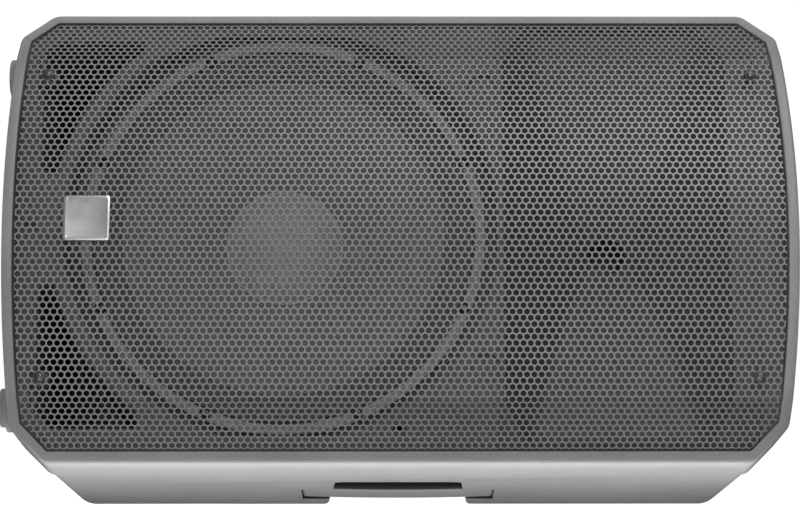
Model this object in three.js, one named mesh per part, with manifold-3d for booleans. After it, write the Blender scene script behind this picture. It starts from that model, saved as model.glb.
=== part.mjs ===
// PA speaker cabinet: a moulded two-way loudspeaker with a 15-inch woofer, a horn and a rear amplifier.
// Millimetres, +Z up, the front faces -Y, X is to the right of someone looking at the front.
// The origin is on the floor, under the middle of the cabinet.
import * as THREE from 'three';
import { mergeVertices } from 'three/addons/utils/BufferGeometryUtils.js';
import Module from 'manifold-3d';

const wasm = await Module();
wasm.setup();

// ---- driving dimensions -------------------------------------------------------------------------
const HALF_WIDTH = 218.5;
const DEPTH = 390;
const TOP_REACH = 370.4;          // from the middle height to the crown of the bowed top
const BOTTOM_REACH = 367.2;
const TOP_BOW = 9.5;              // how far the top falls from its crown to its corners
const BOTTOM_BOW = 7;
const CORNER_X = 188.5;
const CHAMFER_SUM = 549.4;        // |x| + |z| along the corner chamfers
const FOOT_DROP = 7.6;            // floor to the lowest point of the front outline
const MID_Z = FOOT_DROP + BOTTOM_REACH;
const FRONT_Y = -DEPTH / 2;
const REAR_Y = DEPTH / 2;

const BOW_RADIUS = 500;           // plan curve of the front
const FACET_X = 165;              // where the bowed middle meets the side facets
const FACET_SLOPE = Math.tan(THREE.MathUtils.degToRad(35));
const RIM = 10;                   // bezel width around the grille
const SEAM_DEPTH = 137;           // front moulding meets the rear shell
const SEAM_STEP = 1.5;
const WALL = 5;
const GAP = 0.3;                  // air between pieces that rest on each other

const BAFFLE_DEPTH = 36;          // flat middle of the baffle
const BAFFLE_THICK = 7;
const GRILLE_SINK = 2.5;          // grille face below the bezel face
const GRILLE_THICK = 1.5;

const WOOFER_Z = MID_Z - 109.6;
const FRAME_RADIUS = 192.5;
const FRAME_DEPTH = 70;           // front of the woofer's mounting flange
const FRAME_THICK = 6;
const CUP_RADIUS = 202.5;         // recess around the woofer
const CUP_HALF_WIDTH = 195;       // where the recess is cut off at the sides
const CUP_WALL = 3;
const SEAT_DEPTH = FRAME_DEPTH + FRAME_THICK + GAP;
const SEAT_THICK = 6;
const WOOFER_HOLE = 179;
const BOLT_RADIUS = 185;
const BOLTS = 8;
const CONE_RADIUS = 153;
const SURROUND_RADIUS = 179.5;
const COIL_RADIUS = 38;

const HORN_Z = MID_Z + 204;
const HORN_DEPTH = 155;           // throat, behind the front
const HORN_HALF_WIDTH = 203;
const HORN_WALL = 3.5;
const THROAT_RADIUS = 18;
const FLANGE_LOW = MID_Z + 96;
const FLANGE_HIGH = MID_Z + 336;
const FLANGE_HALF_WIDTH = 206;
const FLANGE_THICK = 3.5;

const PORT_INNER_X = 55;
const PORT_OUTER_X = 187;
const PORT_LOW = MID_Z - 336;
const PORT_HIGH = MID_Z - 244;
const PORT_RING = 220;            // the ports' curved edge follows the woofer
const PORT_END_DEPTH = 230;
const PORT_WALL = 3;

const SHELL_WALL = 4;
const END_TAPER = Math.tan(THREE.MathUtils.degToRad(3.6));
const SIDE_CURVE_DEPTH = 313;     // the sides curve in behind this depth
const SIDE_CURVE = 0.002;

const GRIP_DEPTHS = [237, 296];   // front and rear edges of each hand grip
const GRIP_HALF_LENGTH = 95.5;
const GRIP_THICK = 17;
const GRIP_SINK = 4;
const POCKET_DEPTHS = [192, 400];       // open through the rear face
const POCKET_HALF_LENGTHS = [61, 75];   // at its front edge and its rear edge
const POCKET_REACH = 50;          // how far the pocket goes in from the side

const PANEL_HALF_WIDTH = 115;
const PANEL_HALF_HEIGHT = 200;
const PANEL_Z = MID_Z + 10;
const PANEL_SINK = 20;            // panel face below the rear face
const PANEL_THICK = 3;
const PANEL_Y = REAR_Y - PANEL_SINK;

const FOOT_X = 162;
const REAR_FOOT_X = 134;
const FOOT_DEPTHS = [90, 325];
const FOOT_RADIUS = 18.4;
const FOOT_FLANGE = 23;
const POLE_Y = 0;
const POLE_BORE = 18.3;

// ---- materials ----------------------------------------------------------------------------------
function finish(colour, roughness, metalness) {
  return new THREE.MeshStandardMaterial({ color: colour, roughness, metalness });
}
const MOULDED = finish(0x54565a, 0.6, 0);
const SHELL = finish(0x4a4c50, 0.65, 0);
const GRILLE = finish(0x85888b, 0.45, 0.6);
const SILVER = finish(0xc9ccd0, 0.3, 0.9);
const STEEL = finish(0x9a9da0, 0.35, 0.9);
const CAST = finish(0x2c2d2f, 0.5, 0.5);
const PAPER = finish(0x3a3b3d, 0.9, 0);
const CLOTH = finish(0x2b2c2e, 0.95, 0);
const FOAM = finish(0x4d4e50, 0.95, 0);
const FERRITE = finish(0x232325, 0.8, 0);
const COPPER = finish(0xb4713a, 0.4, 0.8);
const HORN = finish(0x4b4d50, 0.55, 0);
const RUBBER = finish(0x202123, 0.9, 0);
const PANEL = finish(0x2a2b2e, 0.45, 0.4);
const FINS = finish(0x1f2022, 0.5, 0.6);
const BOARD = finish(0x1f5a38, 0.6, 0);
const BLACK = finish(0x1b1b1d, 0.4, 0);
const LAMP = finish(0x3f7fd0, 0.2, 0);

// ---- solids -------------------------------------------------------------------------------------
function solid(geometry) {
  const bare = geometry.clone();
  bare.deleteAttribute('normal');
  bare.deleteAttribute('uv');
  const merged = mergeVertices(bare, 1e-3);
  const vertices = merged.getAttribute('position').array;
  const corners = merged.getIndex().array;
  const triangles = [];
  let volume = 0;
  const [a, b, c] = [new THREE.Vector3(), new THREE.Vector3(), new THREE.Vector3()];
  for (let k = 0; k < corners.length; k += 3) {
    const [i, j, m] = [corners[k], corners[k + 1], corners[k + 2]];
    if (i === j || j === m || i === m) continue;
    triangles.push(i, j, m);
    a.fromArray(vertices, 3 * i);
    b.fromArray(vertices, 3 * j);
    c.fromArray(vertices, 3 * m);
    volume += a.dot(b.cross(c));
  }
  if (volume < 0) triangles.reverse();
  const mesh = new wasm.Mesh({
    numProp: 3,
    vertProperties: new Float32Array(vertices),
    triVerts: new Uint32Array(triangles),
  });
  return new wasm.Manifold(mesh);
}

function union(parts) {
  return parts.reduce((whole, part) => whole.add(part));
}

function cut(body, parts) {
  return parts.reduce((whole, part) => whole.subtract(part), body);
}

function geometryOf(body) {
  const mesh = body.getMesh();
  const geometry = new THREE.BufferGeometry();
  const count = mesh.vertProperties.length / mesh.numProp;
  const positions = new Float32Array(3 * count);
  for (let k = 0; k < count; k += 1) {
    for (let axis = 0; axis < 3; axis += 1) {
      positions[3 * k + axis] = mesh.vertProperties[k * mesh.numProp + axis];
    }
  }
  geometry.setAttribute('position', new THREE.BufferAttribute(positions, 3));
  geometry.setIndex(new THREE.BufferAttribute(new Uint32Array(mesh.triVerts), 1));
  return geometry;
}

// A block with eight corners: four on its low-X side, then the matching four on its high-X side.
function blockOf(corners) {
  const geometry = new THREE.BufferGeometry();
  geometry.setAttribute('position', new THREE.BufferAttribute(new Float32Array(corners.flat()), 3));
  geometry.setIndex([
    ...[0, 1, 2, 0, 2, 3],
    ...[4, 6, 5, 4, 7, 6],
    ...[0, 4, 5, 0, 5, 1],
    ...[1, 5, 6, 1, 6, 2],
    ...[2, 6, 7, 2, 7, 3],
    ...[3, 7, 4, 3, 4, 0],
  ]);
  return solid(geometry);
}

function box(x, y, z) {
  const geometry = new THREE.BoxGeometry(x[1] - x[0], y[1] - y[0], z[1] - z[0]);
  geometry.translate((x[0] + x[1]) / 2, (y[0] + y[1]) / 2, (z[0] + z[1]) / 2);
  return solid(geometry);
}

// The outline as a shape, without the points that lie on a straight run.
function shapeOf(outline) {
  const count = outline.length;
  const corners = outline.filter(([x, y], k) => {
    const [x0, y0] = outline[(k + count - 1) % count];
    const [x1, y1] = outline[(k + 1) % count];
    return Math.abs((x - x0) * (y1 - y) - (y - y0) * (x1 - x)) > 1e-6;
  });
  return new THREE.Shape(corners.map(([x, y]) => new THREE.Vector2(x, y)));
}

// A prism along Y: its outline is a list of [x, z].
function prismY(outline, y0, y1) {
  const shape = shapeOf(outline);
  const geometry = new THREE.ExtrudeGeometry(shape, { depth: y1 - y0, bevelEnabled: false });
  geometry.rotateX(Math.PI / 2);
  geometry.translate(0, y1, 0);
  return solid(geometry);
}

// A prism along Z: its outline is a list of [x, y].
function prismZ(outline, z0, z1) {
  const shape = shapeOf(outline);
  const geometry = new THREE.ExtrudeGeometry(shape, { depth: z1 - z0, bevelEnabled: false });
  geometry.translate(0, 0, z0);
  return solid(geometry);
}

function rodY(radius, y0, y1, x, z, sides = 16) {
  const geometry = new THREE.CylinderGeometry(radius, radius, y1 - y0, sides);
  geometry.translate(x, (y0 + y1) / 2, z);
  return solid(geometry);
}

function rodZ(radius, z0, z1, x, y, sides = 24) {
  const geometry = new THREE.CylinderGeometry(radius, radius, z1 - z0, sides);
  geometry.rotateX(Math.PI / 2);
  geometry.translate(x, y, (z0 + z1) / 2);
  return solid(geometry);
}

// A turned piece about a line along Y: its profile is a list of [radius, depth behind the front].
function turned(profile, x, z, sides = 48) {
  const points = profile.map(([radius, depth]) => new THREE.Vector2(radius, FRONT_Y + depth));
  const geometry = new THREE.LatheGeometry(points, sides);
  geometry.translate(x, 0, z);
  return solid(geometry);
}

function ring(inner, outer, depth0, depth1, x, z, sides = 48) {
  const profile = [[inner, depth0], [outer, depth0], [outer, depth1], [inner, depth1], [inner, depth0]];
  return turned(profile, x, z, sides);
}

// A closed skin through rings of [x, y, z] points, each ring lying in one plane across Y.
function loft(rings) {
  const count = rings[0].length;
  const positions = rings.flat(2);
  const index = [];
  for (let r = 0; r + 1 < rings.length; r += 1) {
    for (let k = 0; k < count; k += 1) {
      const next = (k + 1) % count;
      const [a, b] = [r * count + k, r * count + next];
      index.push(a, b, b + count, a, b + count, a + count);
    }
  }
  const lid = (points) => points.map(([x, , z]) => new THREE.Vector2(x, z));
  const last = (rings.length - 1) * count;
  for (const [i, j, k] of THREE.ShapeUtils.triangulateShape(lid(rings[0]), [])) {
    index.push(k, j, i);
  }
  for (const [i, j, k] of THREE.ShapeUtils.triangulateShape(lid(rings[rings.length - 1]), [])) {
    index.push(last + i, last + j, last + k);
  }
  const geometry = new THREE.BufferGeometry();
  geometry.setAttribute('position', new THREE.BufferAttribute(new Float32Array(positions), 3));
  geometry.setIndex(index);
  return solid(geometry);
}

// ---- shared outlines ----------------------------------------------------------------------------
// Front view of the cabinet, moved in by inset, and drawn in further at the sides and the ends.
function outline(inset, sideTaper = 0, endTaper = 0) {
  const side = HALF_WIDTH - inset - sideTaper;
  const sum = CHAMFER_SUM - inset * Math.SQRT2 - sideTaper - endTaper;
  const bowedEnd = (reach, bow) => {
    const crown = reach - inset - endTaper;
    const drop = (x) => bow * (x / CORNER_X) ** 2;
    let corner = CORNER_X;
    for (let pass = 0; pass < 6; pass += 1) corner = sum - crown + drop(corner);
    const steps = 6;
    const points = [];
    for (let k = 0; k <= steps; k += 1) {
      const x = corner * (2 * k / steps - 1);
      points.push([x, crown - drop(x)]);
    }
    return points;
  };
  const top = bowedEnd(TOP_REACH, TOP_BOW);
  const bottom = bowedEnd(BOTTOM_REACH, BOTTOM_BOW).map(([x, z]) => [-x, -z]);
  const right = [[side, sum - side], [side, side - sum]];
  const left = [[-side, side - sum], [-side, sum - side]];
  return [...top, ...right, ...bottom, ...left].map(([x, z]) => [x, MID_Z + z]).reverse();
}

function frontDepth(x) {
  const across = Math.min(Math.abs(x), FACET_X);
  const bow = BOW_RADIUS - Math.sqrt(BOW_RADIUS ** 2 - across ** 2);
  return bow + Math.max(Math.abs(x) - FACET_X, 0) * FACET_SLOPE;
}

function baffleDepth(x) {
  return BAFFLE_DEPTH + Math.max(Math.abs(x) - FACET_X, 0) * FACET_SLOPE;
}

// Everything between two depths, each a function of x, over the whole height or between z0 and z1.
function slab(near, far, halfWidth = HALF_WIDTH + 5, z0 = -20, z1 = 2 * MID_Z + 20) {
  const stations = [-halfWidth, halfWidth];
  const steps = 12;
  for (let k = 0; k <= steps; k += 1) stations.push(FACET_X * (2 * k / steps - 1));
  stations.sort((a, b) => a - b);
  const front = stations.map((x) => [x, FRONT_Y + near(x)]);
  const back = stations.map((x) => [x, FRONT_Y + far(x)]).reverse();
  return prismZ([...front, ...back], z0, z1);
}

function shellTaper(depth) {
  const side = SEAM_STEP + SIDE_CURVE * Math.max(depth - SIDE_CURVE_DEPTH, 0) ** 2;
  const end = SEAM_STEP + (depth - SEAM_DEPTH) * END_TAPER;
  return [side, end];
}

function boltAngles() {
  return Array.from({ length: BOLTS }, (_, k) => (k + 0.5) * 2 * Math.PI / BOLTS);
}

function boltPlace(angle) {
  return [BOLT_RADIUS * Math.cos(angle), WOOFER_Z + BOLT_RADIUS * Math.sin(angle)];
}

const GRILLE_SCREWS = [-1, 1].flatMap((side) => [
  [side * 145, MID_Z - 331],
  [side * 145, MID_Z + 332],
]);

// ---- enclosure ----------------------------------------------------------------------------------
function portOutline(side, grow) {
  const radius = PORT_RING - grow;
  const inner = PORT_INNER_X - grow;
  const outer = PORT_OUTER_X + grow;
  const high = PORT_HIGH + grow;
  const low = PORT_LOW - grow;
  const corner = Math.sqrt(radius ** 2 - (WOOFER_Z - high) ** 2);
  const from = Math.atan2(high - WOOFER_Z, corner);
  const to = Math.atan2(-Math.sqrt(radius ** 2 - inner ** 2), inner);
  const points = [[inner, low], [outer - 12, low], [outer, low + 12], [outer, high]];
  const steps = 8;
  for (let k = 0; k <= steps; k += 1) {
    const angle = from + (to - from) * k / steps;
    points.push([radius * Math.cos(angle), WOOFER_Z + radius * Math.sin(angle)]);
  }
  const placed = points.map(([x, z]) => [side * x, z]);
  return side > 0 ? placed : placed.reverse();
}

// The horn's inside, or with grow its outside: round at the throat, square-cornered at the mouth.
function hornFlare(grow) {
  const stations = [-4, 0, 20, 50, 85, 128];
  const rings = stations.map((out) => {
    const along = Math.max(out, 0);
    const halfX = THROAT_RADIUS + 1.1 * along + 0.01183 * along ** 2 + grow;
    const halfZ = THROAT_RADIUS + 0.74 * along + grow;
    const square = Math.min(along / 60, 1);
    const power = 2 / (2 + 14 * square);
    const points = [];
    const count = 20;
    for (let k = 0; k < count; k += 1) {
      const angle = 2 * Math.PI * (k + 0.5) / count;
      const even = new THREE.Vector2(Math.cos(angle), Math.sin(angle));
      const x = halfX * Math.sign(even.x) * Math.abs(even.x) ** power;
      const z = halfZ * Math.sign(even.y) * Math.abs(even.y) ** power;
      points.push([x, FRONT_Y + HORN_DEPTH - out + grow, HORN_Z + z]);
    }
    return points;
  });
  const reach = HORN_HALF_WIDTH + grow;
  const limits = box([-reach, reach], [FRONT_Y - 40, REAR_Y], [HORN_Z - 200, HORN_Z + 200]);
  return loft(rings).intersect(limits);
}

function frontMoulding() {
  const block = prismY(outline(0), FRONT_Y - 1, FRONT_Y + SEAM_DEPTH);
  const body = block.intersect(slab(frontDepth, () => SEAM_DEPTH + 1));
  const recess = prismY(outline(RIM), FRONT_Y - 2, FRONT_Y + SEAM_DEPTH);
  const hollow = prismY(outline(WALL), FRONT_Y - 2, FRONT_Y + SEAM_DEPTH + 1);
  const rearOfBaffle = (x) => baffleDepth(x) + BAFFLE_THICK;
  const shell = cut(body, [
    recess.intersect(slab(() => -10, baffleDepth)),
    hollow.intersect(slab(rearOfBaffle, () => SEAM_DEPTH + 5)),
  ]);
  const cupDepth = SEAT_DEPTH + SEAT_THICK;
  const cupReach = CUP_HALF_WIDTH + CUP_WALL;
  const cup = rodY(CUP_RADIUS + CUP_WALL, FRONT_Y + BAFFLE_DEPTH + 1, FRONT_Y + cupDepth, 0, WOOFER_Z, 48)
    .intersect(slab((x) => baffleDepth(x) + 1, () => cupDepth, cupReach));
  const recessSides = box([-CUP_HALF_WIDTH, CUP_HALF_WIDTH], [FRONT_Y, REAR_Y], [0, 2 * MID_Z]);
  const wooferRecess = rodY(CUP_RADIUS, FRONT_Y, FRONT_Y + SEAT_DEPTH, 0, WOOFER_Z, 48).intersect(recessSides);
  const flangeSeat = slab(
    (x) => baffleDepth(x) - 8,
    (x) => baffleDepth(x) + FLANGE_THICK + GAP,
    FLANGE_HALF_WIDTH + GAP,
    FLANGE_LOW - GAP,
    FLANGE_HIGH + GAP,
  );
  const ports = [-1, 1].map((side) => prismY(portOutline(side, 0), FRONT_Y - 1, FRONT_Y + 100));
  const pillars = GRILLE_SCREWS.filter(([, z]) => z < MID_Z)
    .map(([x, z]) => rodY(8, FRONT_Y + 30, FRONT_Y + BAFFLE_DEPTH + BAFFLE_THICK, x, z));
  const whole = cut(shell.add(cup), [
    wooferRecess,
    rodY(WOOFER_HOLE, FRONT_Y, FRONT_Y + SEAM_DEPTH, 0, WOOFER_Z, 48),
    flangeSeat,
    hornFlare(HORN_WALL + 0.6),
    ...ports,
  ]);
  const screwHoles = GRILLE_SCREWS.map(([x, z]) => rodY(2.6, FRONT_Y + 10, FRONT_Y + 60, x, z, 10));
  const boltHoles = boltAngles().map((angle) => rodY(3.2, FRONT_Y + 60, FRONT_Y + 100, ...boltPlace(angle), 6));
  return cut(union([whole, ...pillars]), [...screwHoles, ...boltHoles]);
}

// The space behind and around a hand grip: narrower at its front edge than at its rear edge.
function pocketBlock([x0, x1], grow) {
  const [front, rear] = POCKET_DEPTHS.map((depth, k) => FRONT_Y + depth + (k === 0 ? -grow : grow));
  const [frontHalf, rearHalf] = POCKET_HALF_LENGTHS.map((half) => half + grow);
  const section = (x) => [
    [x, front, MID_Z - frontHalf],
    [x, front, MID_Z + frontHalf],
    [x, rear, MID_Z + rearHalf],
    [x, rear, MID_Z - rearHalf],
  ];
  return blockOf([...section(x0), ...section(x1)]);
}

function rearShell() {
  const stations = [SEAM_DEPTH + GAP, SIDE_CURVE_DEPTH, 345, 375, 386, DEPTH];
  const rounding = (depth) => (depth > 375 ? 12 - Math.sqrt(Math.max(144 - ((depth - 375) * 0.8) ** 2, 0)) : 0);
  const section = (inset, depth) => {
    const [side, end] = shellTaper(depth);
    return outline(inset + rounding(depth), side, end).map(([x, z]) => [x, FRONT_Y + depth, z]);
  };
  const outside = loft(stations.map((depth) => section(0, depth)));
  const innerStations = [SEAM_DEPTH - 5, SIDE_CURVE_DEPTH, 345, 375, DEPTH - SHELL_WALL];
  const inside = loft(innerStations.map((depth) => section(SHELL_WALL, depth)));
  const footPads = [-1, 1].map((side) => (
    rodZ(25, footTop() + GAP, MID_Z - BOTTOM_REACH + 40, side * REAR_FOOT_X, FRONT_Y + FOOT_DEPTHS[1])
  ));
  const open = cut(union([outside, ...footPads]), [inside]);

  const gripY = [FRONT_Y + GRIP_DEPTHS[0] - 0.5, FRONT_Y + GRIP_DEPTHS[1] + 0.5];
  const reach = HALF_WIDTH - POCKET_REACH;
  const cup = SHELL_WALL;
  const gripEnd = GRIP_HALF_LENGTH + 0.5;
  const gripFloor = HALF_WIDTH - GRIP_SINK - GRIP_THICK;
  const pockets = [];
  const cavities = [];
  for (const side of [-1, 1]) {
    const across = (from, to) => [side * from, side * to].sort((a, b) => a - b);
    pockets.push(pocketBlock(across(reach - cup, HALF_WIDTH), cup).intersect(outside));
    pockets.push(box(
      across(gripFloor - cup, HALF_WIDTH),
      [gripY[0] - cup, gripY[1] + cup],
      [MID_Z - gripEnd - cup, MID_Z + gripEnd + cup],
    ).intersect(outside));
    cavities.push(pocketBlock(across(reach, HALF_WIDTH + 5), 0));
    cavities.push(box(across(gripFloor, HALF_WIDTH + 5), gripY, [MID_Z - gripEnd, MID_Z + gripEnd]));
  }

  const trayX = PANEL_HALF_WIDTH + 1;
  const trayZ = PANEL_HALF_HEIGHT + 1;
  const lip = 8;
  const trayFrame = box(
    [-trayX - SHELL_WALL, trayX + SHELL_WALL],
    [PANEL_Y - PANEL_THICK - GAP - SHELL_WALL, REAR_Y - 1],
    [PANEL_Z - trayZ - SHELL_WALL, PANEL_Z + trayZ + SHELL_WALL],
  );
  const tray = box(
    [-trayX, trayX],
    [PANEL_Y - PANEL_THICK - GAP, REAR_Y + 1],
    [PANEL_Z - trayZ, PANEL_Z + trayZ],
  );
  const window = box(
    [-trayX + lip, trayX - lip],
    [REAR_Y - 60, REAR_Y],
    [PANEL_Z - trayZ + lip, PANEL_Z + trayZ - lip],
  );
  const poleHole = rodZ(24.5, -5, 60, 0, POLE_Y, 32);
  return cut(union([open, ...pockets, trayFrame]), [...cavities, tray, window, poleHole]);
}

function grille() {
  const sheet = slab((x) => frontDepth(x) + GRILLE_SINK, (x) => frontDepth(x) + GRILLE_SINK + GRILLE_THICK);
  const blank = prismY(outline(RIM + 1), FRONT_Y - 2, FRONT_Y + SEAM_DEPTH).intersect(sheet);
  const holes = GRILLE_SCREWS.map(([x, z]) => rodY(2.6, FRONT_Y, FRONT_Y + 60, x, z, 10));
  return cut(blank, holes);
}

function badge() {
  const half = 21.5;
  const face = GRILLE_SINK - GAP;
  const plate = box([-half, half], [FRONT_Y + face - 1.9, FRONT_Y + face], [MID_Z - 289 - half, MID_Z - 289 + half]);
  return plate;
}

function buttonScrew(x, z, faceDepth, headRadius, headHeight, shankRadius, shankLength) {
  const under = faceDepth - GAP;
  const profile = [
    [0, under - headHeight],
    [headRadius * 0.6, under - headHeight],
    [headRadius, under],
    [shankRadius, under],
    [shankRadius, under + shankLength],
    [0, under + shankLength],
  ];
  return turned(profile, x, z, 8);
}

function grip(side) {
  const steps = 6;
  const outer = [];
  const inner = [];
  for (let k = 0; k <= steps; k += 1) {
    const along = 2 * k / steps - 1;
    const sink = 1.7 + 1.8 * along ** 2;
    const z = MID_Z + along * GRIP_HALF_LENGTH;
    outer.push([HALF_WIDTH - sink, z]);
    inner.push([HALF_WIDTH - GRIP_SINK - GRIP_THICK + 0.5, z]);
  }
  const plan = [...outer, ...inner.reverse()].map(([x, z]) => [side * x, z]);
  const bar = prismY(side > 0 ? plan : plan.reverse(), FRONT_Y + GRIP_DEPTHS[0], FRONT_Y + GRIP_DEPTHS[1]);
  return bar;
}

function footTop() {
  return FOOT_DROP + BOTTOM_BOW * ((FOOT_X - FOOT_FLANGE) / CORNER_X) ** 2 - GAP;
}

function foot(side, depth) {
  const height = footTop();
  const disc = 6.5;
  const profile = [
    [0, 0],
    [FOOT_RADIUS - 1.5, 0],
    [FOOT_RADIUS, 1.5],
    [FOOT_RADIUS, disc],
    [FOOT_FLANGE, disc],
    [FOOT_FLANGE, height],
    [0, height],
  ];
  const geometry = new THREE.LatheGeometry(profile.map(([r, h]) => new THREE.Vector2(r, h)), 12);
  geometry.rotateX(Math.PI / 2);
  geometry.translate(side * (depth === FOOT_DEPTHS[0] ? FOOT_X : REAR_FOOT_X), FRONT_Y + depth, 0);
  return solid(geometry);
}

function poleSocket() {
  const geometry = new THREE.LatheGeometry([
    [POLE_BORE, 7],
    [33, 7],
    [33, 10],
    [24, 10],
    [24, 98],
    [0, 98],
    [0, 94],
    [POLE_BORE, 94],
    [POLE_BORE, 7],
  ].map(([r, h]) => new THREE.Vector2(r, h)), 20);
  geometry.rotateX(Math.PI / 2);
  geometry.translate(0, POLE_Y, 0);
  return solid(geometry);
}

function portDuct(side) {
  const outside = prismY(portOutline(side, PORT_WALL), FRONT_Y, FRONT_Y + PORT_END_DEPTH);
  const inside = prismY(portOutline(side, 0), FRONT_Y - 1, FRONT_Y + PORT_END_DEPTH + 1);
  const behind = slab((x) => baffleDepth(x) + BAFFLE_THICK + GAP, () => DEPTH);
  const cupSpace = rodY(CUP_RADIUS + CUP_WALL + 1, FRONT_Y, FRONT_Y + SEAT_DEPTH + SEAT_THICK + 1, 0, WOOFER_Z, 48);
  return cut(outside, [inside, cupSpace]).intersect(behind);
}

function dampingPad() {
  return box([-150, 150], [REAR_Y - 36, REAR_Y - SHELL_WALL - 6], [MID_Z - 310, MID_Z - 215]);
}

// ---- woofer -------------------------------------------------------------------------------------
function wooferFrame() {
  const profile = [
    [180, FRAME_DEPTH],
    [FRAME_RADIUS, FRAME_DEPTH],
    [FRAME_RADIUS, FRAME_DEPTH + FRAME_THICK],
    [178, FRAME_DEPTH + FRAME_THICK],
    [172, 92],
    [94, 160],
    [94, 176],
    [46, 176],
    [46, 172],
    [88, 172],
    [88, 157],
    [167, 90],
    [175, FRAME_DEPTH + 1.5],
    [180, FRAME_DEPTH],
  ];
  const body = turned(profile, 0, WOOFER_Z, 32);
  const windows = boltAngles().map((angle) => {
    const geometry = new THREE.CylinderGeometry(50, 22, 80, 4, 1);
    geometry.rotateY(Math.PI / 4);
    geometry.scale(0.95, 1, 0.55);
    geometry.rotateZ(-Math.PI / 2);
    geometry.translate(132, 0, 0);
    geometry.rotateY(-angle);
    geometry.translate(0, FRONT_Y + 125, WOOFER_Z);
    return solid(geometry);
  });
  const bolts = boltAngles().map((angle) => rodY(3.2, FRONT_Y + 60, FRONT_Y + 100, ...boltPlace(angle), 6));
  return cut(body, [...windows, ...bolts]);
}

function gasket() {
  const body = ring(182, FRAME_RADIUS - 0.2, FRAME_DEPTH - GAP - 5, FRAME_DEPTH - GAP, 0, WOOFER_Z, 48);
  const notches = boltAngles().map((angle) => rodY(5.2, FRONT_Y + 50, FRONT_Y + 90, ...boltPlace(angle), 8));
  return cut(body, notches);
}

// Depth of the cone's front at a radius: a shallow curve from the coil to the rim.
function coneDepth(radius) {
  const along = (radius - COIL_RADIUS) / (CONE_RADIUS - COIL_RADIUS);
  return 130 - 56 * along ** 0.85;
}

function cone() {
  const steps = 4;
  const front = [];
  const back = [];
  for (let k = 0; k <= steps; k += 1) {
    const radius = COIL_RADIUS + 1 + (CONE_RADIUS - COIL_RADIUS - 1) * k / steps;
    front.push([radius, coneDepth(radius)]);
    back.push([radius, coneDepth(radius) + 1.6]);
  }
  return turned([...front, ...back.reverse(), front[0]], 0, WOOFER_Z, 30);
}

function surround() {
  const front = [];
  const back = [];
  const folds = 6;
  for (let k = 0; k <= folds; k += 1) {
    const along = k / folds;
    const radius = CONE_RADIUS + GAP + along * (SURROUND_RADIUS - CONE_RADIUS - GAP);
    const lift = k % 2 === 0 ? 0 : 1.4;
    const depth = 73.5 - 5 * along - lift;
    front.push([radius, depth - 0.5]);
    back.push([radius, depth + 0.5]);
  }
  return turned([...front, ...back.reverse(), front[0]], 0, WOOFER_Z, 30);
}

function dustCap() {
  const radius = 55;
  const base = coneDepth(radius) - GAP;
  const steps = 4;
  const front = [];
  const back = [];
  for (let k = 0; k <= steps; k += 1) {
    const across = radius * k / steps;
    const height = 18 * (1 - (k / steps) ** 2);
    front.push([across, base - 1.2 - height]);
    back.push([Math.max(across - (k === steps ? 0.8 : 0), 0), base - height]);
  }
  return turned([...front, ...back.reverse()], 0, WOOFER_Z, 24);
}

function spider() {
  const front = [];
  const back = [];
  const folds = 4;
  for (let k = 0; k <= folds; k += 1) {
    const radius = COIL_RADIUS + 1.2 + k / folds * 47;
    const depth = 150 + (k % 2 === 0 ? 1.2 : -1.2);
    front.push([radius, depth - 0.6]);
    back.push([radius, depth + 0.6]);
  }
  return turned([...front, ...back.reverse(), front[0]], 0, WOOFER_Z, 24);
}

// ---- horn and driver ----------------------------------------------------------------------------
function horn() {
  const behind = slab(baffleDepth, () => DEPTH);
  const outside = hornFlare(HORN_WALL).intersect(behind);
  const flange = slab(
    baffleDepth,
    (x) => baffleDepth(x) + FLANGE_THICK,
    FLANGE_HALF_WIDTH,
    FLANGE_LOW,
    FLANGE_HIGH,
  );
  const driverSeat = rodY(52, FRONT_Y + HORN_DEPTH - 6, FRONT_Y + HORN_DEPTH, 0, HORN_Z, 32);
  const bore = rodY(THROAT_RADIUS, FRONT_Y + HORN_DEPTH - 4, FRONT_Y + HORN_DEPTH + 10, 0, HORN_Z, 32);
  const trimmed = box([-230, 230], [FRONT_Y, FRONT_Y + HORN_DEPTH], [HORN_Z - 200, HORN_Z + 200]);
  const screwHoles = GRILLE_SCREWS.map(([x, z]) => rodY(2.6, FRONT_Y + 10, FRONT_Y + 60, x, z, 10));
  return cut(union([outside, flange, driverSeat]).intersect(trimmed), [hornFlare(0), bore, ...screwHoles]);
}

function driverBody() {
  const start = HORN_DEPTH + GAP;
  return turned([
    [THROAT_RADIUS, start],
    [60, start],
    [60, start + 45],
    [44, start + 45],
    [44, start + 35],
    [14, start + 35],
    [THROAT_RADIUS, start],
  ], 0, HORN_Z, 24);
}

function diaphragm() {
  const base = HORN_DEPTH + 43;
  return turned([
    [0, base - 5],
    [20, base - 3.5],
    [36, base],
    [42, base],
    [42, base + 1],
    [36, base + 1],
    [20, base - 2.5],
    [0, base - 4],
  ], 0, HORN_Z, 24);
}

function driverCover() {
  const start = HORN_DEPTH + 45 + 2 * GAP;
  return turned([
    [40, start],
    [56, start],
    [56, start + 14],
    [48, start + 24],
    [0, start + 24],
    [0, start + 21],
    [40, start + 14],
    [40, start],
  ], 0, HORN_Z, 24);
}

// ---- amplifier ----------------------------------------------------------------------------------
const KNOB_X = [-75, -25, 25];
const KNOB_Z = PANEL_Z + 155;
const JACK_X = [-75, -25];
const OUTPUT_X = 25;
const JACK_Z = PANEL_Z + 95;
const BUTTON_X = 80;
const INLET_X = -55;
const SWITCH_X = 20;
const POWER_Z = PANEL_Z + 32;
const JACK_BODY = 12;
const ROCKER_TILT = THREE.MathUtils.degToRad(9);

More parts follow.
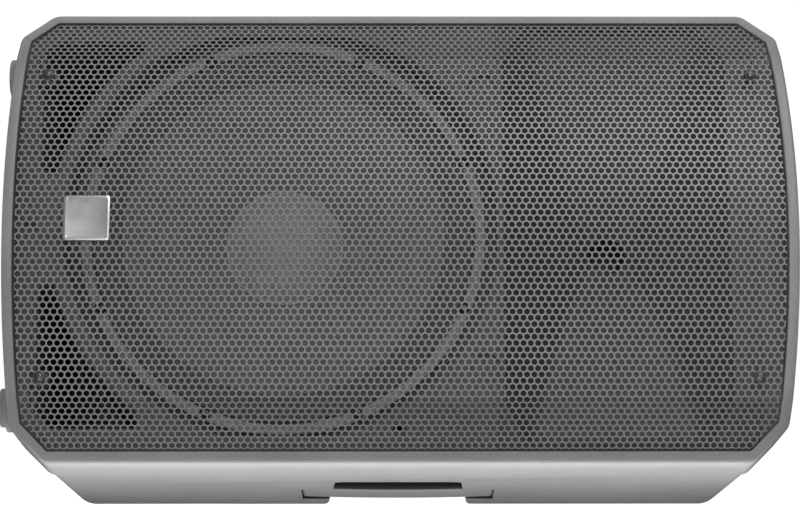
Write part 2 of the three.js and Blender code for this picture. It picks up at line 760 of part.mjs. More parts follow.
function ampPanel() {
  const plate = box(
    [-PANEL_HALF_WIDTH, PANEL_HALF_WIDTH],
    [PANEL_Y - PANEL_THICK, PANEL_Y],
    [PANEL_Z - PANEL_HALF_HEIGHT, PANEL_Z + PANEL_HALF_HEIGHT],
  );
  const through = [PANEL_Y - 10, PANEL_Y + 10];
  const hole = (radius, x, z) => rodY(radius, ...through, x, z, 12);
  return cut(plate, [
    ...[...JACK_X, OUTPUT_X].map((x) => hole(JACK_BODY + GAP, x, JACK_Z)),
    ...KNOB_X.map((x) => hole(3.6, x, KNOB_Z)),
    hole(4.6, BUTTON_X, KNOB_Z),
    hole(3.1, BUTTON_X, JACK_Z),
    ...JACK_X.map((x) => box([x - 4.6, x + 4.6], through, [JACK_Z + 9, JACK_Z + 14.6])),
    box([INLET_X - 14.5, INLET_X + 14.5], through, [POWER_Z - 11.5, POWER_Z + 11.5]),
    box([SWITCH_X - 10.5, SWITCH_X + 10.5], through, [POWER_Z - 14.5, POWER_Z + 14.5]),
  ]);
}

function heatSink() {
  const base = [PANEL_Y + GAP, PANEL_Y + 4];
  const high = PANEL_Z - 25;
  const low = PANEL_Z - 185;
  const parts = [box([-100, 100], base, [low, high])];
  const fins = 15;
  for (let k = 0; k < fins; k += 1) {
    const x = -98.5 + 197 * k / (fins - 1);
    parts.push(box([x - 1.5, x + 1.5], [PANEL_Y + 3, PANEL_Y + 17], [low, high]));
  }
  return union(parts);
}

function inputJack(x) {
  const flange = box([x - 13, x + 13], [PANEL_Y + GAP, PANEL_Y + 2.5], [JACK_Z - 15.5, JACK_Z + 15.5]);
  const barrel = rodY(JACK_BODY, PANEL_Y - 24, PANEL_Y + 2.5, x, JACK_Z, 12);
  const well = rodY(10, PANEL_Y - 14, PANEL_Y + 5, x, JACK_Z, 12);
  const core = rodY(7, PANEL_Y - 15, PANEL_Y - 1, x, JACK_Z, 12);
  const bore = rodY(3.3, PANEL_Y - 22, PANEL_Y + 5, x, JACK_Z, 8);
  const tabSlot = box([x - 4.5, x + 4.5], [PANEL_Y - 5, PANEL_Y + 5], [JACK_Z + 10.7, JACK_Z + 14.5]);
  return cut(cut(flange.add(barrel), [well, tabSlot]).add(core), [bore]);
}

function jackTab(x) {
  return box([x - 4, x + 4], [PANEL_Y + 0.4, PANEL_Y + 4.4], [JACK_Z + 11.2, JACK_Z + 14]);
}

function outputJack(x) {
  const flange = box([x - 13, x + 13], [PANEL_Y + GAP, PANEL_Y + 2.5], [JACK_Z - 15.5, JACK_Z + 15.5]);
  const barrel = rodY(JACK_BODY, PANEL_Y - 20, PANEL_Y + 2.5, x, JACK_Z, 12);
  const well = rodY(9.5, PANEL_Y - 13, PANEL_Y + 5, x, JACK_Z, 12);
  const pins = [0, 1, 2].map((k) => {
    const angle = Math.PI / 2 + k * 2 * Math.PI / 3;
    return rodY(1.3, PANEL_Y - 14, PANEL_Y, x + 4.5 * Math.cos(angle), JACK_Z + 4.5 * Math.sin(angle), 6);
  });
  return union([cut(flange.add(barrel), [well]), ...pins]);
}

function knob(x) {
  const skirt = rodY(11, PANEL_Y + 1, PANEL_Y + 4, x, KNOB_Z, 12);
  const cap = rodY(8.5, PANEL_Y + 4, PANEL_Y + 15, x, KNOB_Z, 12);
  const pointer = box([x - 0.9, x + 0.9], [PANEL_Y + 4, PANEL_Y + 15.6], [KNOB_Z + 2, KNOB_Z + 9.2]);
  const shaft = rodY(2.9, PANEL_Y - 12, PANEL_Y + 2, x, KNOB_Z, 8);
  return union([skirt, cap, pointer, shaft]);
}

function modeButton() {
  const cap = rodY(4, PANEL_Y - 6, PANEL_Y + 3.5, BUTTON_X, KNOB_Z, 12);
  return cap.add(rodY(6, PANEL_Y - 8, PANEL_Y - 5.5, BUTTON_X, KNOB_Z, 12));
}

function statusLamp() {
  const lens = rodY(2.8, PANEL_Y - 8, PANEL_Y + 1.5, BUTTON_X, JACK_Z, 12);
  return lens.add(rodY(4, PANEL_Y + GAP, PANEL_Y + 1.2, BUTTON_X, JACK_Z, 12));
}

function mainsInlet() {
  const flange = box([INLET_X - 25, INLET_X + 25], [PANEL_Y + GAP, PANEL_Y + 3], [POWER_Z - 14, POWER_Z + 14]);
  const can = box([INLET_X - 14, INLET_X + 14], [PANEL_Y - 22, PANEL_Y + 1], [POWER_Z - 11, POWER_Z + 11]);
  const well = box([INLET_X - 12, INLET_X + 12], [PANEL_Y - 15, PANEL_Y + 5], [POWER_Z - 8.5, POWER_Z + 8.5]);
  const blades = [-7, 0, 7].map((x) => {
    const z = POWER_Z + (x === 0 ? 3 : -2);
    return box([INLET_X + x - 1, INLET_X + x + 1], [PANEL_Y - 16, PANEL_Y - 2], [z - 2.5, z + 2.5]);
  });
  return union([cut(flange.add(can), [well]), ...blades]);
}

function switchHousing() {
  const flange = box([SWITCH_X - 13, SWITCH_X + 13], [PANEL_Y + GAP, PANEL_Y + 2], [POWER_Z - 17, POWER_Z + 17]);
  const can = box([SWITCH_X - 10, SWITCH_X + 10], [PANEL_Y - 18, PANEL_Y + 1], [POWER_Z - 14, POWER_Z + 14]);
  const well = box([SWITCH_X - 8, SWITCH_X + 8], [PANEL_Y - 12, PANEL_Y + 5], [POWER_Z - 12, POWER_Z + 12]);
  return cut(flange.add(can), [well]);
}

function switchRocker() {
  const half = 7.5;
  const shape = [[-11, 0], [-11.2, 4.6], [0, 2.6], [11.2, 4.6], [11, 0], [0, -7]];
  const plan = new THREE.Shape(shape.map(([z, y]) => new THREE.Vector2(y, z)));
  const geometry = new THREE.ExtrudeGeometry(plan, { depth: 2 * half, bevelEnabled: false });
  geometry.translate(0, 0, -half);
  geometry.rotateY(-Math.PI / 2);
  geometry.rotateX(-Math.PI / 2);
  geometry.rotateX(ROCKER_TILT);
  geometry.translate(SWITCH_X, PANEL_Y, POWER_Z);
  return solid(geometry);
}

// A circuit board with its parts and spacers, all soldered or screwed into one piece.
function board(x, y, z, parts) {
  const plate = box(x, y, z);
  const corners = [x[0] + 5, x[1] - 5].flatMap((u) => [z[0] + 5, z[1] - 5].map((v) => [u, v]));
  const spacers = corners.map(([u, v]) => rodY(3, y[1] - 0.5, PANEL_Y - PANEL_THICK - GAP, u, v, 8));
  return union([plate, ...spacers, ...parts]);
}

function ampBoard() {
  const y = [PANEL_Y - 26, PANEL_Y - 24];
  const coils = [-60, -30].map((x) => rodY(11, y[0] - 14, y[0] + 0.5, x, PANEL_Z - 60, 16));
  const spreader = box([-80, 80], [y[1] - 0.5, PANEL_Y - PANEL_THICK - 1], [PANEL_Z - 120, PANEL_Z - 100]);
  return board([-90, 90], y, [PANEL_Z - 130, PANEL_Z - 35], [...coils, spreader]);
}

function powerSupply() {
  const y = [PANEL_Y - 66, PANEL_Y - 64];
  const core = box([-30, 25], [y[0] - 34, y[0] + 0.5], [PANEL_Z - 120, PANEL_Z - 75]);
  const cans = [50, 75].map((x) => rodY(11, y[0] - 30, y[0] + 0.5, x, PANEL_Z - 60, 16));
  const plate = box([-90, 90], y, [PANEL_Z - 190, PANEL_Z - 40]);
  const legs = [-84, 84].map((x) => (
    rodY(3, y[1] - 0.5, PANEL_Y - PANEL_THICK - GAP, x, PANEL_Z - 180, 8)
  ));
  return union([plate, core, ...cans, ...legs]);
}

function inputBoard() {
  const y = [PANEL_Y - 30, PANEL_Y - 28.4];
  const chips = [[-50, 125], [0, 125], [60, 110]].map(([x, z]) => (
    box([x - 8, x + 8], [y[0] - 3, y[0] + 0.3], [PANEL_Z + z - 8, PANEL_Z + z + 8])
  ));
  return board([-100, 100], y, [PANEL_Z + 65, PANEL_Z + 180], chips);
}

// A lead clipped inside the cabinet, from the amplifier to a driver.
function lead(points) {
  const path = new THREE.CatmullRomCurve3(points.map((point) => new THREE.Vector3(...point)));
  const section = new THREE.Shape();
  const sides = 6;
  for (let k = 0; k < sides; k += 1) {
    const angle = 2 * Math.PI * k / sides;
    const corner = [2.5 * Math.cos(angle), 2.5 * Math.sin(angle)];
    if (k === 0) section.moveTo(...corner);
    else section.lineTo(...corner);
  }
  section.closePath();
  return solid(new THREE.ExtrudeGeometry(section, { steps: 12, extrudePath: path, bevelEnabled: false }));
}

function wooferLead() {
  const boardFace = PANEL_Y - 66.5;
  return lead([
    [-60, boardFace - 0.6, PANEL_Z - 100],
    [-62, boardFace - 25, PANEL_Z - 100],
    [-120, boardFace - 60, WOOFER_Z + 20],
    [-125, FRONT_Y + 190, WOOFER_Z + 5],
    [-100, FRONT_Y + 171, WOOFER_Z],
  ]);
}

function tweeterLead() {
  const boardFace = PANEL_Y - 30.5;
  return lead([
    [30, boardFace - 0.6, PANEL_Z + 150],
    [30, boardFace - 30, PANEL_Z + 150],
    [34, FRONT_Y + 260, HORN_Z - 10],
    [28, FRONT_Y + HORN_DEPTH + 70 + 2 * GAP, HORN_Z],
  ]);
}

// ---- assembly -----------------------------------------------------------------------------------
const speaker = new THREE.Group();

function place(name, body, material) {
  const mesh = new THREE.Mesh(geometryOf(body), material);
  mesh.name = name;
  speaker.add(mesh);
}

place('front_moulding', frontMoulding(), MOULDED);
place('rear_shell', rearShell(), SHELL);
place('grille', grille(), GRILLE);
place('badge_plate', badge(), SILVER);
GRILLE_SCREWS.forEach(([x, z], k) => {
  const face = frontDepth(x) + GRILLE_SINK;
  place(`grille_screw_${k + 1}`, buttonScrew(x, z, face - 2, 4.5, 2.6, 2.1, 18), STEEL);
});
for (const [side, word] of [[-1, 'left'], [1, 'right']]) {
  place(`hand_grip_${word}`, grip(side), RUBBER);
  place(`port_duct_${word}`, portDuct(side), MOULDED);
  FOOT_DEPTHS.forEach((depth, k) => {
    place(`foot_${k === 0 ? 'front' : 'rear'}_${word}`, foot(side, depth), RUBBER);
  });
}
place('pole_socket', poleSocket(), CAST);
place('damping_pad', dampingPad(), FOAM);

place('woofer_frame', wooferFrame(), CAST);
place('woofer_gasket', gasket(), FOAM);
boltAngles().forEach((angle, k) => {
  place(`woofer_screw_${k + 1}`, buttonScrew(...boltPlace(angle), FRAME_DEPTH, 4.5, 3, 2.2, 16), STEEL);
});
place('woofer_surround', surround(), CLOTH);
place('woofer_cone', cone(), PAPER);
place('dust_cap', dustCap(), PAPER);
place('voice_coil', ring(COIL_RADIUS - 0.4, COIL_RADIUS + 0.6, 132.5, 196, 0, WOOFER_Z, 24), COPPER);
place('spider', spider(), CLOTH);
place('top_plate', ring(COIL_RADIUS + 1.8, 90, 176 + GAP, 185, 0, WOOFER_Z, 24), STEEL);
place('magnet', ring(50, 95, 185 + GAP, 208, 0, WOOFER_Z, 24), FERRITE);
place('pole_and_yoke', turned([
  [12, 178],
  [COIL_RADIUS - 1.5, 178],
  [COIL_RADIUS - 1.5, 208 + GAP],
  [90, 208 + GAP],
  [90, 218],
  [12, 218],
  [12, 178],
], 0, WOOFER_Z, 24), STEEL);

place('horn', horn(), HORN);
place('driver_body', driverBody(), FERRITE);
place('driver_diaphragm', diaphragm(), SILVER);
place('driver_cover', driverCover(), CAST);

place('amp_panel', ampPanel(), PANEL);
place('heat_sink', heatSink(), FINS);
place('amp_board', ampBoard(), BOARD);
place('power_supply', powerSupply(), BOARD);
place('input_board', inputBoard(), BOARD);
JACK_X.forEach((x, k) => {
  place(`input_jack_${k + 1}`, inputJack(x), BLACK);
  place(`jack_tab_${k + 1}`, jackTab(x), STEEL);
});
place('output_jack', outputJack(OUTPUT_X), BLACK);
KNOB_X.forEach((x, k) => place(`level_knob_${k + 1}`, knob(x), BLACK));
place('mode_button', modeButton(), BLACK);
place('status_lamp', statusLamp(), LAMP);
place('mains_inlet', mainsInlet(), BLACK);
place('switch_housing', switchHousing(), BLACK);
place('switch_rocker', switchRocker(), BLACK);
place('woofer_lead', wooferLead(), RUBBER);
place('driver_lead', tweeterLead(), RUBBER);

export default speaker;
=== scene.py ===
from math import acos, asin, atan, atan2, copysign, cos, hypot, pi, radians, sin, sqrt, tan

import bmesh
import bpy
from mathutils import Matrix, Vector


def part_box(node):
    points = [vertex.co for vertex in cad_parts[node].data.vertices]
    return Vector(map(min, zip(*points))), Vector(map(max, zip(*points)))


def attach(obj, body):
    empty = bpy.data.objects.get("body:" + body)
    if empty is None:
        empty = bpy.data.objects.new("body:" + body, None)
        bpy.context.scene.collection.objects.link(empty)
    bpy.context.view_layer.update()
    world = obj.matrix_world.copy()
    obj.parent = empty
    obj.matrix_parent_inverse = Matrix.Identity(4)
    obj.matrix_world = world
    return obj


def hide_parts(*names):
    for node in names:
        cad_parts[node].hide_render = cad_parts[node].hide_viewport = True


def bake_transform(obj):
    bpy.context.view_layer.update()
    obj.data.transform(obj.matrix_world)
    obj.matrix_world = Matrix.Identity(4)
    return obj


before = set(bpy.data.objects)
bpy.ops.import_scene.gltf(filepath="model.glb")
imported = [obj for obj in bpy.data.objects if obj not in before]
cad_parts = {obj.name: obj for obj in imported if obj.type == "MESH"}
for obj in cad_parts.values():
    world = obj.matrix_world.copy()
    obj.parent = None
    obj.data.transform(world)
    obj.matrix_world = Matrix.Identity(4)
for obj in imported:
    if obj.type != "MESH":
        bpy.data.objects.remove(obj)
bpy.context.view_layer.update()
MM = 0.001


def span(node):
    low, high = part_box(node)
    return [c / MM for c in low], [c / MM for c in high]


def middle(node):
    low, high = span(node)
    return [(a + b) / 2 for a, b in zip(low, high)]


# ---- dimensions -----------------------------------------------------------------------------
FRONT_LOW, FRONT_HIGH = span("front_moulding")
FRONT_Y = FRONT_LOW[1]
HALF_WIDTH = FRONT_HIGH[0]
BOTTOM_REACH = 367.2
TOP_REACH = 370.4
BOTTOM_BOW = 7
TOP_BOW = 9.5
CORNER_X = 188.5
CHAMFER_SUM = 549.4
CORNER_RADIUS = 14
MID_Z = FRONT_LOW[2] + BOTTOM_REACH
SEAM_DEPTH = FRONT_HIGH[1] - FRONT_Y
DEPTH = span("rear_shell")[1][1] - FRONT_Y
BOW_RADIUS = 500
FACET_X = 165
FACET_SLOPE = tan(radians(35))
RIM = 10
WALL = 5
BAFFLE_DEPTH = 36
BAFFLE_THICK = 7
GRILLE_SINK = 2.5
GRILLE_THICK = 1.5
SEAM_STEP = 1.5
SHELL_WALL = 4
END_TAPER = tan(radians(3.6))
SIDE_CURVE_DEPTH = 313
SIDE_CURVE = 0.002
WOOFER_Z = middle("woofer_frame")[2]
WOOFER_HOLE = 179
HORN_Z = middle("driver_body")[2]
HORN_DEPTH = 155
PANEL_Y = span("amp_panel")[1][1]
PANEL_DEPTH = PANEL_Y - FRONT_Y
PANEL_Z = middle("amp_panel")[2]
FULL_TURN = 2 * pi


# ---- procedural materials -------------------------------------------------------------------
def new_material(name):
    material = bpy.data.materials.new(name)
    material.use_nodes = True
    return material, material.node_tree, material.node_tree.nodes["Principled BSDF"]


def feed(tree, made, **inputs):
    """Sets each named input of a shader node to a number, a colour or another node's output."""
    for name, value in inputs.items():
        socket = made.inputs[name.replace("_", " ").title()]
        if isinstance(value, bpy.types.NodeSocket):
            tree.links.new(value, socket)
        else:
            socket.default_value = value
    return made


def add(tree, kind, **inputs):
    return feed(tree, tree.nodes.new("ShaderNode" + kind), **inputs)


def maths(tree, operation, *values):
    made = add(tree, "Math")
    made.operation = operation
    for socket, value in zip(made.inputs, values):
        if isinstance(value, bpy.types.NodeSocket):
            tree.links.new(value, socket)
        else:
            socket.default_value = value
    return made.outputs[0]


def noise(tree, coords, scale, detail=3.0, rough=0.55):
    return add(tree, "TexNoise", scale=scale, detail=detail, roughness=rough, vector=coords).outputs["Fac"]


def ramp(tree, fac, low, high, start=0.3, end=0.7):
    made = add(tree, "ValToRGB", fac=fac)
    for stop, position, colour in zip(made.color_ramp.elements, (start, end), (low, high)):
        stop.position = position
        stop.color = (*colour, 1)
    return made.outputs["Color"]


def spread(tree, value, low, high, start=0.3, end=0.7):
    made = add(tree, "MapRange", from_min=start, from_max=end, to_min=low, to_max=high, value=value)
    return made.outputs["Result"]


def bump(tree, height, strength, distance):
    return add(tree, "Bump", strength=strength, distance=distance, height=height).outputs["Normal"]


def add_wear(tree, shader, colour, coords, worn, amount):
    """Lighter rubbed patches where the surface turns outwards."""
    edge = spread(tree, add(tree, "NewGeometry").outputs["Pointiness"], 0.0, 1.0, 0.52, 0.62)
    patches = spread(tree, noise(tree, coords, 60, 4), 0.0, amount, 0.45, 0.7)
    mix = add(tree, "Mix")
    mix.data_type = "RGBA"
    mix.inputs["B"].default_value = (*worn, 1)
    tree.links.new(maths(tree, "MULTIPLY", edge, patches), mix.inputs["Factor"])
    tree.links.new(colour, mix.inputs["A"])
    tree.links.new(mix.outputs["Result"], shader.inputs["Base Color"])


def surface(name, base, vary=0.12, rough=(0.45, 0.6), metal=0.0, grain=900, relief=0.05,
            patch=9, specular=0.5, sheen=0.0, coat=0.0, wear=0.0, detail=3.0):
    """A moulded, painted or cast surface: slow colour drift, fine grain in its gloss and height."""
    material, tree, shader = new_material(name)
    coords = add(tree, "TexCoord").outputs["Object"]
    slow = noise(tree, coords, patch, 3)
    fine = noise(tree, coords, grain, detail)
    low = [c * (1 - vary) for c in base]
    high = [min(c * (1 + vary), 1) for c in base]
    mean = maths(tree, "MULTIPLY_ADD", fine, 0.5, maths(tree, "MULTIPLY", slow, 0.5))
    colour = ramp(tree, mean, low, high)
    if wear:
        worn = [min(c * 1.8 + 0.06, 1) for c in base]
        add_wear(tree, shader, colour, coords, worn, wear)
    else:
        feed(tree, shader, base_color=colour)
    feed(tree, shader, roughness=spread(tree, fine, *rough), normal=bump(tree, fine, 0.6, relief * MM),
         metallic=metal, sheen_weight=sheen, coat_weight=coat)
    shader.inputs["Specular IOR Level"].default_value = specular
    return material


def brushed(name, base, rough=(0.2, 0.35), along=(1, 1, 60), scale=40):
    """Metal with fine parallel polishing lines."""
    material, tree, shader = new_material(name)
    coords = add(tree, "TexCoord").outputs["Object"]
    stretch = add(tree, "Mapping", scale=along, vector=coords)
    lines = noise(tree, stretch.outputs["Vector"], scale, 6, 0.7)
    smear = noise(tree, coords, 30, 3)
    low = [c * 0.86 for c in base]
    feed(tree, shader, base_color=ramp(tree, lines, low, base), roughness=spread(tree, smear, *rough),
         normal=bump(tree, lines, 0.35, 0.02 * MM), metallic=1.0)
    return material


WAVE_SCALE = 3.14 / 20     # a wave texture at this scale repeats once in a unit length


def woven(name, base, pitch=0.7):
    """Doped cloth: crossed threads over a soft sheen."""
    material, tree, shader = new_material(name)
    coords = add(tree, "TexCoord").outputs["Object"]
    threads = []
    for axis in ("X", "Z"):
        wave = add(tree, "TexWave", scale=WAVE_SCALE / (pitch * MM), distortion=0.6, vector=coords)
        wave.bands_direction = axis
        threads.append(wave.outputs["Fac"])
    top = maths(tree, "MAXIMUM", *threads)
    low = [c * 0.7 for c in base]
    high = [c * 1.25 for c in base]
    feed(tree, shader, base_color=ramp(tree, top, low, high, 0.2, 0.9), sheen_weight=0.25,
         roughness=spread(tree, noise(tree, coords, 120), 0.6, 0.85), normal=bump(tree, top, 0.5, 0.12 * MM))
    return material


MOULDED = surface("front moulding plastic", (0.135, 0.138, 0.142), 0.2, (0.36, 0.5), grain=620,
                  relief=0.4, wear=0.5, detail=4)
BAFFLE = surface("baffle plastic", (0.085, 0.087, 0.09), 0.12, (0.5, 0.7), grain=600, relief=0.12)
SHELL = surface("rear shell plastic", (0.13, 0.133, 0.137), 0.2, (0.34, 0.46), grain=620,
                relief=0.4, wear=0.5, detail=4)
# Near-black painted shade for the grip pockets and the shaded faces of the grip bars, not a darker plastic.
POCKET_SHADE = surface("pocket painted shade", (0.014, 0.014, 0.0145), 0.2, (0.6, 0.75), grain=700, relief=0.14,
                 specular=0.06)
GRIP = surface("grip plastic", (0.085, 0.087, 0.09), 0.12, (0.45, 0.6), grain=900, relief=0.1, wear=0.35)
STEEL_GREY = surface("grille powder coat", (0.135, 0.137, 0.14), 0.1, (0.36, 0.5), metal=0.22, grain=1400,
                     relief=0.03)
BADGE = brushed("badge brushed metal", (0.6, 0.61, 0.62), (0.22, 0.36), (60, 1, 1))
ZINC = brushed("zinc screws", (0.62, 0.63, 0.64), (0.22, 0.4), (20, 20, 20), 60)
BLACKENED = brushed("blackened screws", (0.16, 0.16, 0.165), (0.25, 0.4), (20, 20, 20), 60)
BRIGHT = brushed("bright steel", (0.6, 0.61, 0.62), (0.25, 0.4), (8, 60, 8), 40)
CAST = surface("cast frame paint", (0.03, 0.031, 0.033), 0.2, (0.35, 0.6), grain=500, relief=0.2, patch=20)
FELT = surface("damping wool", (0.42, 0.43, 0.44), 0.35, (0.9, 1.0), grain=260, relief=1.2, sheen=0.6)
FOAM = surface("gasket foam", (0.2, 0.2, 0.205), 0.18, (0.85, 0.98), grain=1500, relief=0.2, sheen=0.2)
CLOTH = woven("surround cloth", (0.055, 0.056, 0.058))
PAPER = surface("cone paper", (0.11, 0.112, 0.115), 0.22, (0.62, 0.85), grain=420, relief=0.22, patch=30)
CAP = surface("dust cap paper", (0.2, 0.203, 0.207), 0.14, (0.42, 0.6), grain=380, relief=0.12, patch=24)
COPPER = brushed("copper winding", (0.72, 0.36, 0.18), (0.3, 0.45), (1, 120, 1), 60)
FERRITE = surface("ferrite", (0.035, 0.035, 0.038), 0.25, (0.55, 0.8), grain=800, relief=0.1)
HORN = surface("horn plastic", (0.062, 0.063, 0.065), 0.12, (0.42, 0.58), grain=800, relief=0.06)
DIAPHRAGM = brushed("diaphragm foil", (0.12, 0.12, 0.125), (0.5, 0.7), (30, 30, 30), 40)
PANEL = surface("panel powder coat", (0.03, 0.031, 0.034), 0.2, (0.4, 0.6), metal=0.2, grain=1100,
                relief=0.1, wear=0.4)
FINS = surface("anodised fins", (0.035, 0.036, 0.039), 0.18, (0.3, 0.45), metal=0.7, grain=1200, relief=0.03)
BOARD = surface("circuit board", (0.03, 0.16, 0.07), 0.3, (0.3, 0.5), grain=350, relief=0.08)
BLACK = surface("black plastic", (0.022, 0.022, 0.024), 0.25, (0.32, 0.48), grain=900, relief=0.05)
MARK = surface("white print", (0.72, 0.72, 0.7), 0.06, (0.5, 0.65), grain=900, relief=0.02)
RUBBER = surface("foot rubber", (0.14, 0.143, 0.147), 0.2, (0.6, 0.8), grain=700, relief=0.12, sheen=0.1)
LEAD = surface("lead rubber", (0.02, 0.02, 0.022), 0.2, (0.45, 0.6), grain=600, relief=0.06)
LAMP = surface("lamp lens", (0.08, 0.25, 0.6), 0.12, (0.08, 0.18), grain=300, relief=0.01, coat=0.6)


# ---- meshes ---------------------------------------------------------------------------------
def show(name, mesh):
    made = bpy.data.objects.new(name, mesh)
    bpy.context.scene.collection.objects.link(made)
    return made


def solid(points, faces):
    mesh = bpy.data.meshes.new("scratch")
    mesh.from_pydata([[c * MM for c in p] for p in points], [], faces)
    work = bmesh.new()
    work.from_mesh(mesh)
    bmesh.ops.remove_doubles(work, verts=work.verts, dist=1e-6)
    bmesh.ops.recalc_face_normals(work, faces=work.faces)
    work.to_mesh(mesh)
    work.free()
    return show("scratch", mesh)


def loft(rings, through=False):
    """Quads between closed rings of points. through joins the last ring to the first."""
    count = len(rings[0])
    if any(len(ring) != count for ring in rings):
        raise ValueError(f"rings of unlike length: {[len(ring) for ring in rings]}")
    points = [p for ring in rings for p in ring]
    faces = []
    pairs = len(rings) if through else len(rings) - 1
    for r in range(pairs):
        here, there = r * count, (r + 1) % len(rings) * count
        for k in range(count):
            nxt = (k + 1) % count
            faces.append((here + k, here + nxt, there + nxt, there + k))
    if not through:
        faces.append(tuple(range(count))[::-1])
        faces.append(tuple(range((len(rings) - 1) * count, len(rings) * count)))
    return solid(points, faces)


def prism_y(ring, depth0, depth1):
    return loft([ring_at(ring, FRONT_Y + depth) for depth in (depth0, depth1)])


def prism_z(ring, z0, z1):
    return loft([[(x, y, z) for x, y in ring] for z in (z0, z1)])


def block(x, y, z):
    return prism_z([(x[0], y[0]), (x[1], y[0]), (x[1], y[1]), (x[0], y[1])], *z)


def circle(radius, sides, x=0, z=0, turn=0):
    """Points around a circle. turn is the first one's angle, counted in sides."""
    angles = [FULL_TURN * (k + turn) / sides for k in range(sides)]
    return [(x + radius * cos(a), z + radius * sin(a)) for a in angles]


def quarter(steps):
    """The sine and cosine at even steps over a quarter turn."""
    angles = [pi / 2 * k / steps for k in range(steps + 1)]
    return [(sin(a), cos(a)) for a in angles]


def ring_at(ring, y):
    """An outline in x and z, placed at y."""
    return [(x, y, z) for x, z in ring]


AXIS = 0.01          # a turned profile that runs to the axis stops here
NEAR_AXIS = 0.02


def spun(profile, sides, place):
    """A turned piece. The profile is a closed loop, or runs from the axis and back to it."""
    turns = circle(1, sides)
    if min(profile[0][0], profile[-1][0]) < NEAR_AXIS:
        return loft([[place(r * c, r * s, h) for c, s in turns] for r, h in profile if r >= NEAR_AXIS])
    return loft([[place(r * c, r * s, h) for r, h in profile] for c, s in turns], through=True)


def turned(profile, x, z, sides=96):
    """Turned about a line along Y. The profile is in (radius, depth)."""
    return spun(profile, sides, lambda u, v, depth: (x + u, FRONT_Y + depth, z + v))


def upright(profile, x, y, sides=64):
    """Turned about a vertical line. The profile is in (radius, z)."""
    return spun(profile, sides, lambda u, v, z: (x + u, y + v, z))


def rod_y(radius, depth0, depth1, x, z, sides=32):
    return prism_y(circle(radius, sides, x, z), depth0, depth1)


def settle(thing):
    """Turns a piece's modifiers into its mesh."""
    graph = bpy.context.evaluated_depsgraph_get()
    mesh = bpy.data.meshes.new_from_object(thing.evaluated_get(graph), depsgraph=graph)
    thing.modifiers.clear()
    old = thing.data
    thing.data = mesh
    mesh.name = thing.name
    bpy.data.meshes.remove(old)
    return thing


def combine(thing, others, operation):
    for other in others:
        step = thing.modifiers.new("step", "BOOLEAN")
        step.operation = operation
        step.solver = "MANIFOLD"
        step.object = other
    settle(thing)
    for other in others:
        bpy.data.objects.remove(other)
    return thing


def cut(thing, *others):
    return combine(thing, others, "DIFFERENCE")


def join(thing, *others):
    return combine(thing, others, "UNION")


def common(thing, *others):
    return combine(thing, others, "INTERSECT")


def gather(name, parts):
    """Several closed bodies as one piece."""
    work = bmesh.new()
    for part in parts:
        work.from_mesh(part.data)
    mesh = bpy.data.meshes.new(name)
    work.to_mesh(mesh)
    work.free()
    for part in parts:
        bpy.data.objects.remove(part)
    return show(name, mesh)


def soften(thing, width, angle=35):
    step = thing.modifiers.new("edges", "BEVEL")
    step.width = width * MM
    step.segments = 2
    step.limit_method = "ANGLE"
    step.angle_limit = radians(angle)
    return thing


def piece(thing, name, material, body="cabinet", replaces=None, crease=32):
    thing.name = name
    thing.data.name = name
    thing.data.materials.clear()
    thing.data.materials.append(material)
    thing.data.shade_smooth()
    thing.data.set_sharp_from_angle(angle=radians(crease))
    if body:
        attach(thing, body)
    if replaces:
        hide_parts(replaces)
    return thing


# ---- shared outlines ------------------------------------------------------------------------
BOW_STEPS = 24
BOW_STATIONS = [FACET_X * (2 * k / BOW_STEPS - 1) for k in range(BOW_STEPS + 1)]


def fillet(corner, before, after, radius, steps=6):
    """Points of an arc that rounds a corner between two unit directions."""
    turn = acos(max(-1, min(1, before[0] * after[0] + before[1] * after[1])))
    reach = radius * tan(turn / 2)
    side = 1 if before[0] * after[1] - before[1] * after[0] > 0 else -1
    start = (corner[0] - before[0] * reach, corner[1] - before[1] * reach)
    centre = (start[0] - side * before[1] * radius, start[1] + side * before[0] * radius)
    dx, dz = start[0] - centre[0], start[1] - centre[1]
    angles = [side * turn * k / steps for k in range(steps + 1)]
    return [(centre[0] + dx * cos(a) - dz * sin(a), centre[1] + dx * sin(a) + dz * cos(a)) for a in angles]


def direction(a, b):
    length = hypot(b[0] - a[0], b[1] - a[1])
    return (b[0] - a[0]) / length, (b[1] - a[1]) / length


def rounded(corners, radii, steps=5):
    """A polygon whose corners are rounded by the radius given for each, or kept where it is 0."""
    points = []
    count = len(corners)
    for k, corner in enumerate(corners):
        if radii[k] <= 0:
            points.append(corner)
            continue
        before = direction(corners[k - 1], corner)
        after = direction(corner, corners[(k + 1) % count])
        points += fillet(corner, before, after, radii[k], steps)
    return points


def rounded_rectangle(x, z, radius, steps=5):
    return rounded([(x[0], z[0]), (x[1], z[0]), (x[1], z[1]), (x[0], z[1])], [radius] * 4, steps)


def outline(inset, side_taper=0.0, end_taper=0.0):
    """Front view of the cabinet, moved in by inset, with its corners rounded."""
    radius = max(CORNER_RADIUS - inset, 4)
    side = HALF_WIDTH - inset - side_taper
    total = CHAMFER_SUM - inset * sqrt(2) - side_taper - end_taper
    halves = []
    for reach, bow in ((TOP_REACH, TOP_BOW), (BOTTOM_REACH, BOTTOM_BOW)):
        crown = reach - inset - end_taper
        corner = CORNER_X
        for _ in range(6):
            corner = total - crown + bow * (corner / CORNER_X) ** 2
        drop = bow * (corner / CORNER_X) ** 2
        slope = direction((0, 0), (1, -2 * bow * corner / CORNER_X ** 2))
        chamfer = (sqrt(0.5), -sqrt(0.5))
        points = [(x, crown - bow * (x / CORNER_X) ** 2) for x in BOW_STATIONS]
        points += fillet((corner, crown - drop), slope, chamfer, radius)
        points += fillet((side, total - side), chamfer, (0, -1), radius)
        left = [(-x, z) for x, z in points[BOW_STEPS + 1:]][::-1]
        halves.append(left + points)
    top, bottom = halves
    return [(x, MID_Z + z) for x, z in top] + [(x, MID_Z - z) for x, z in bottom[::-1]]


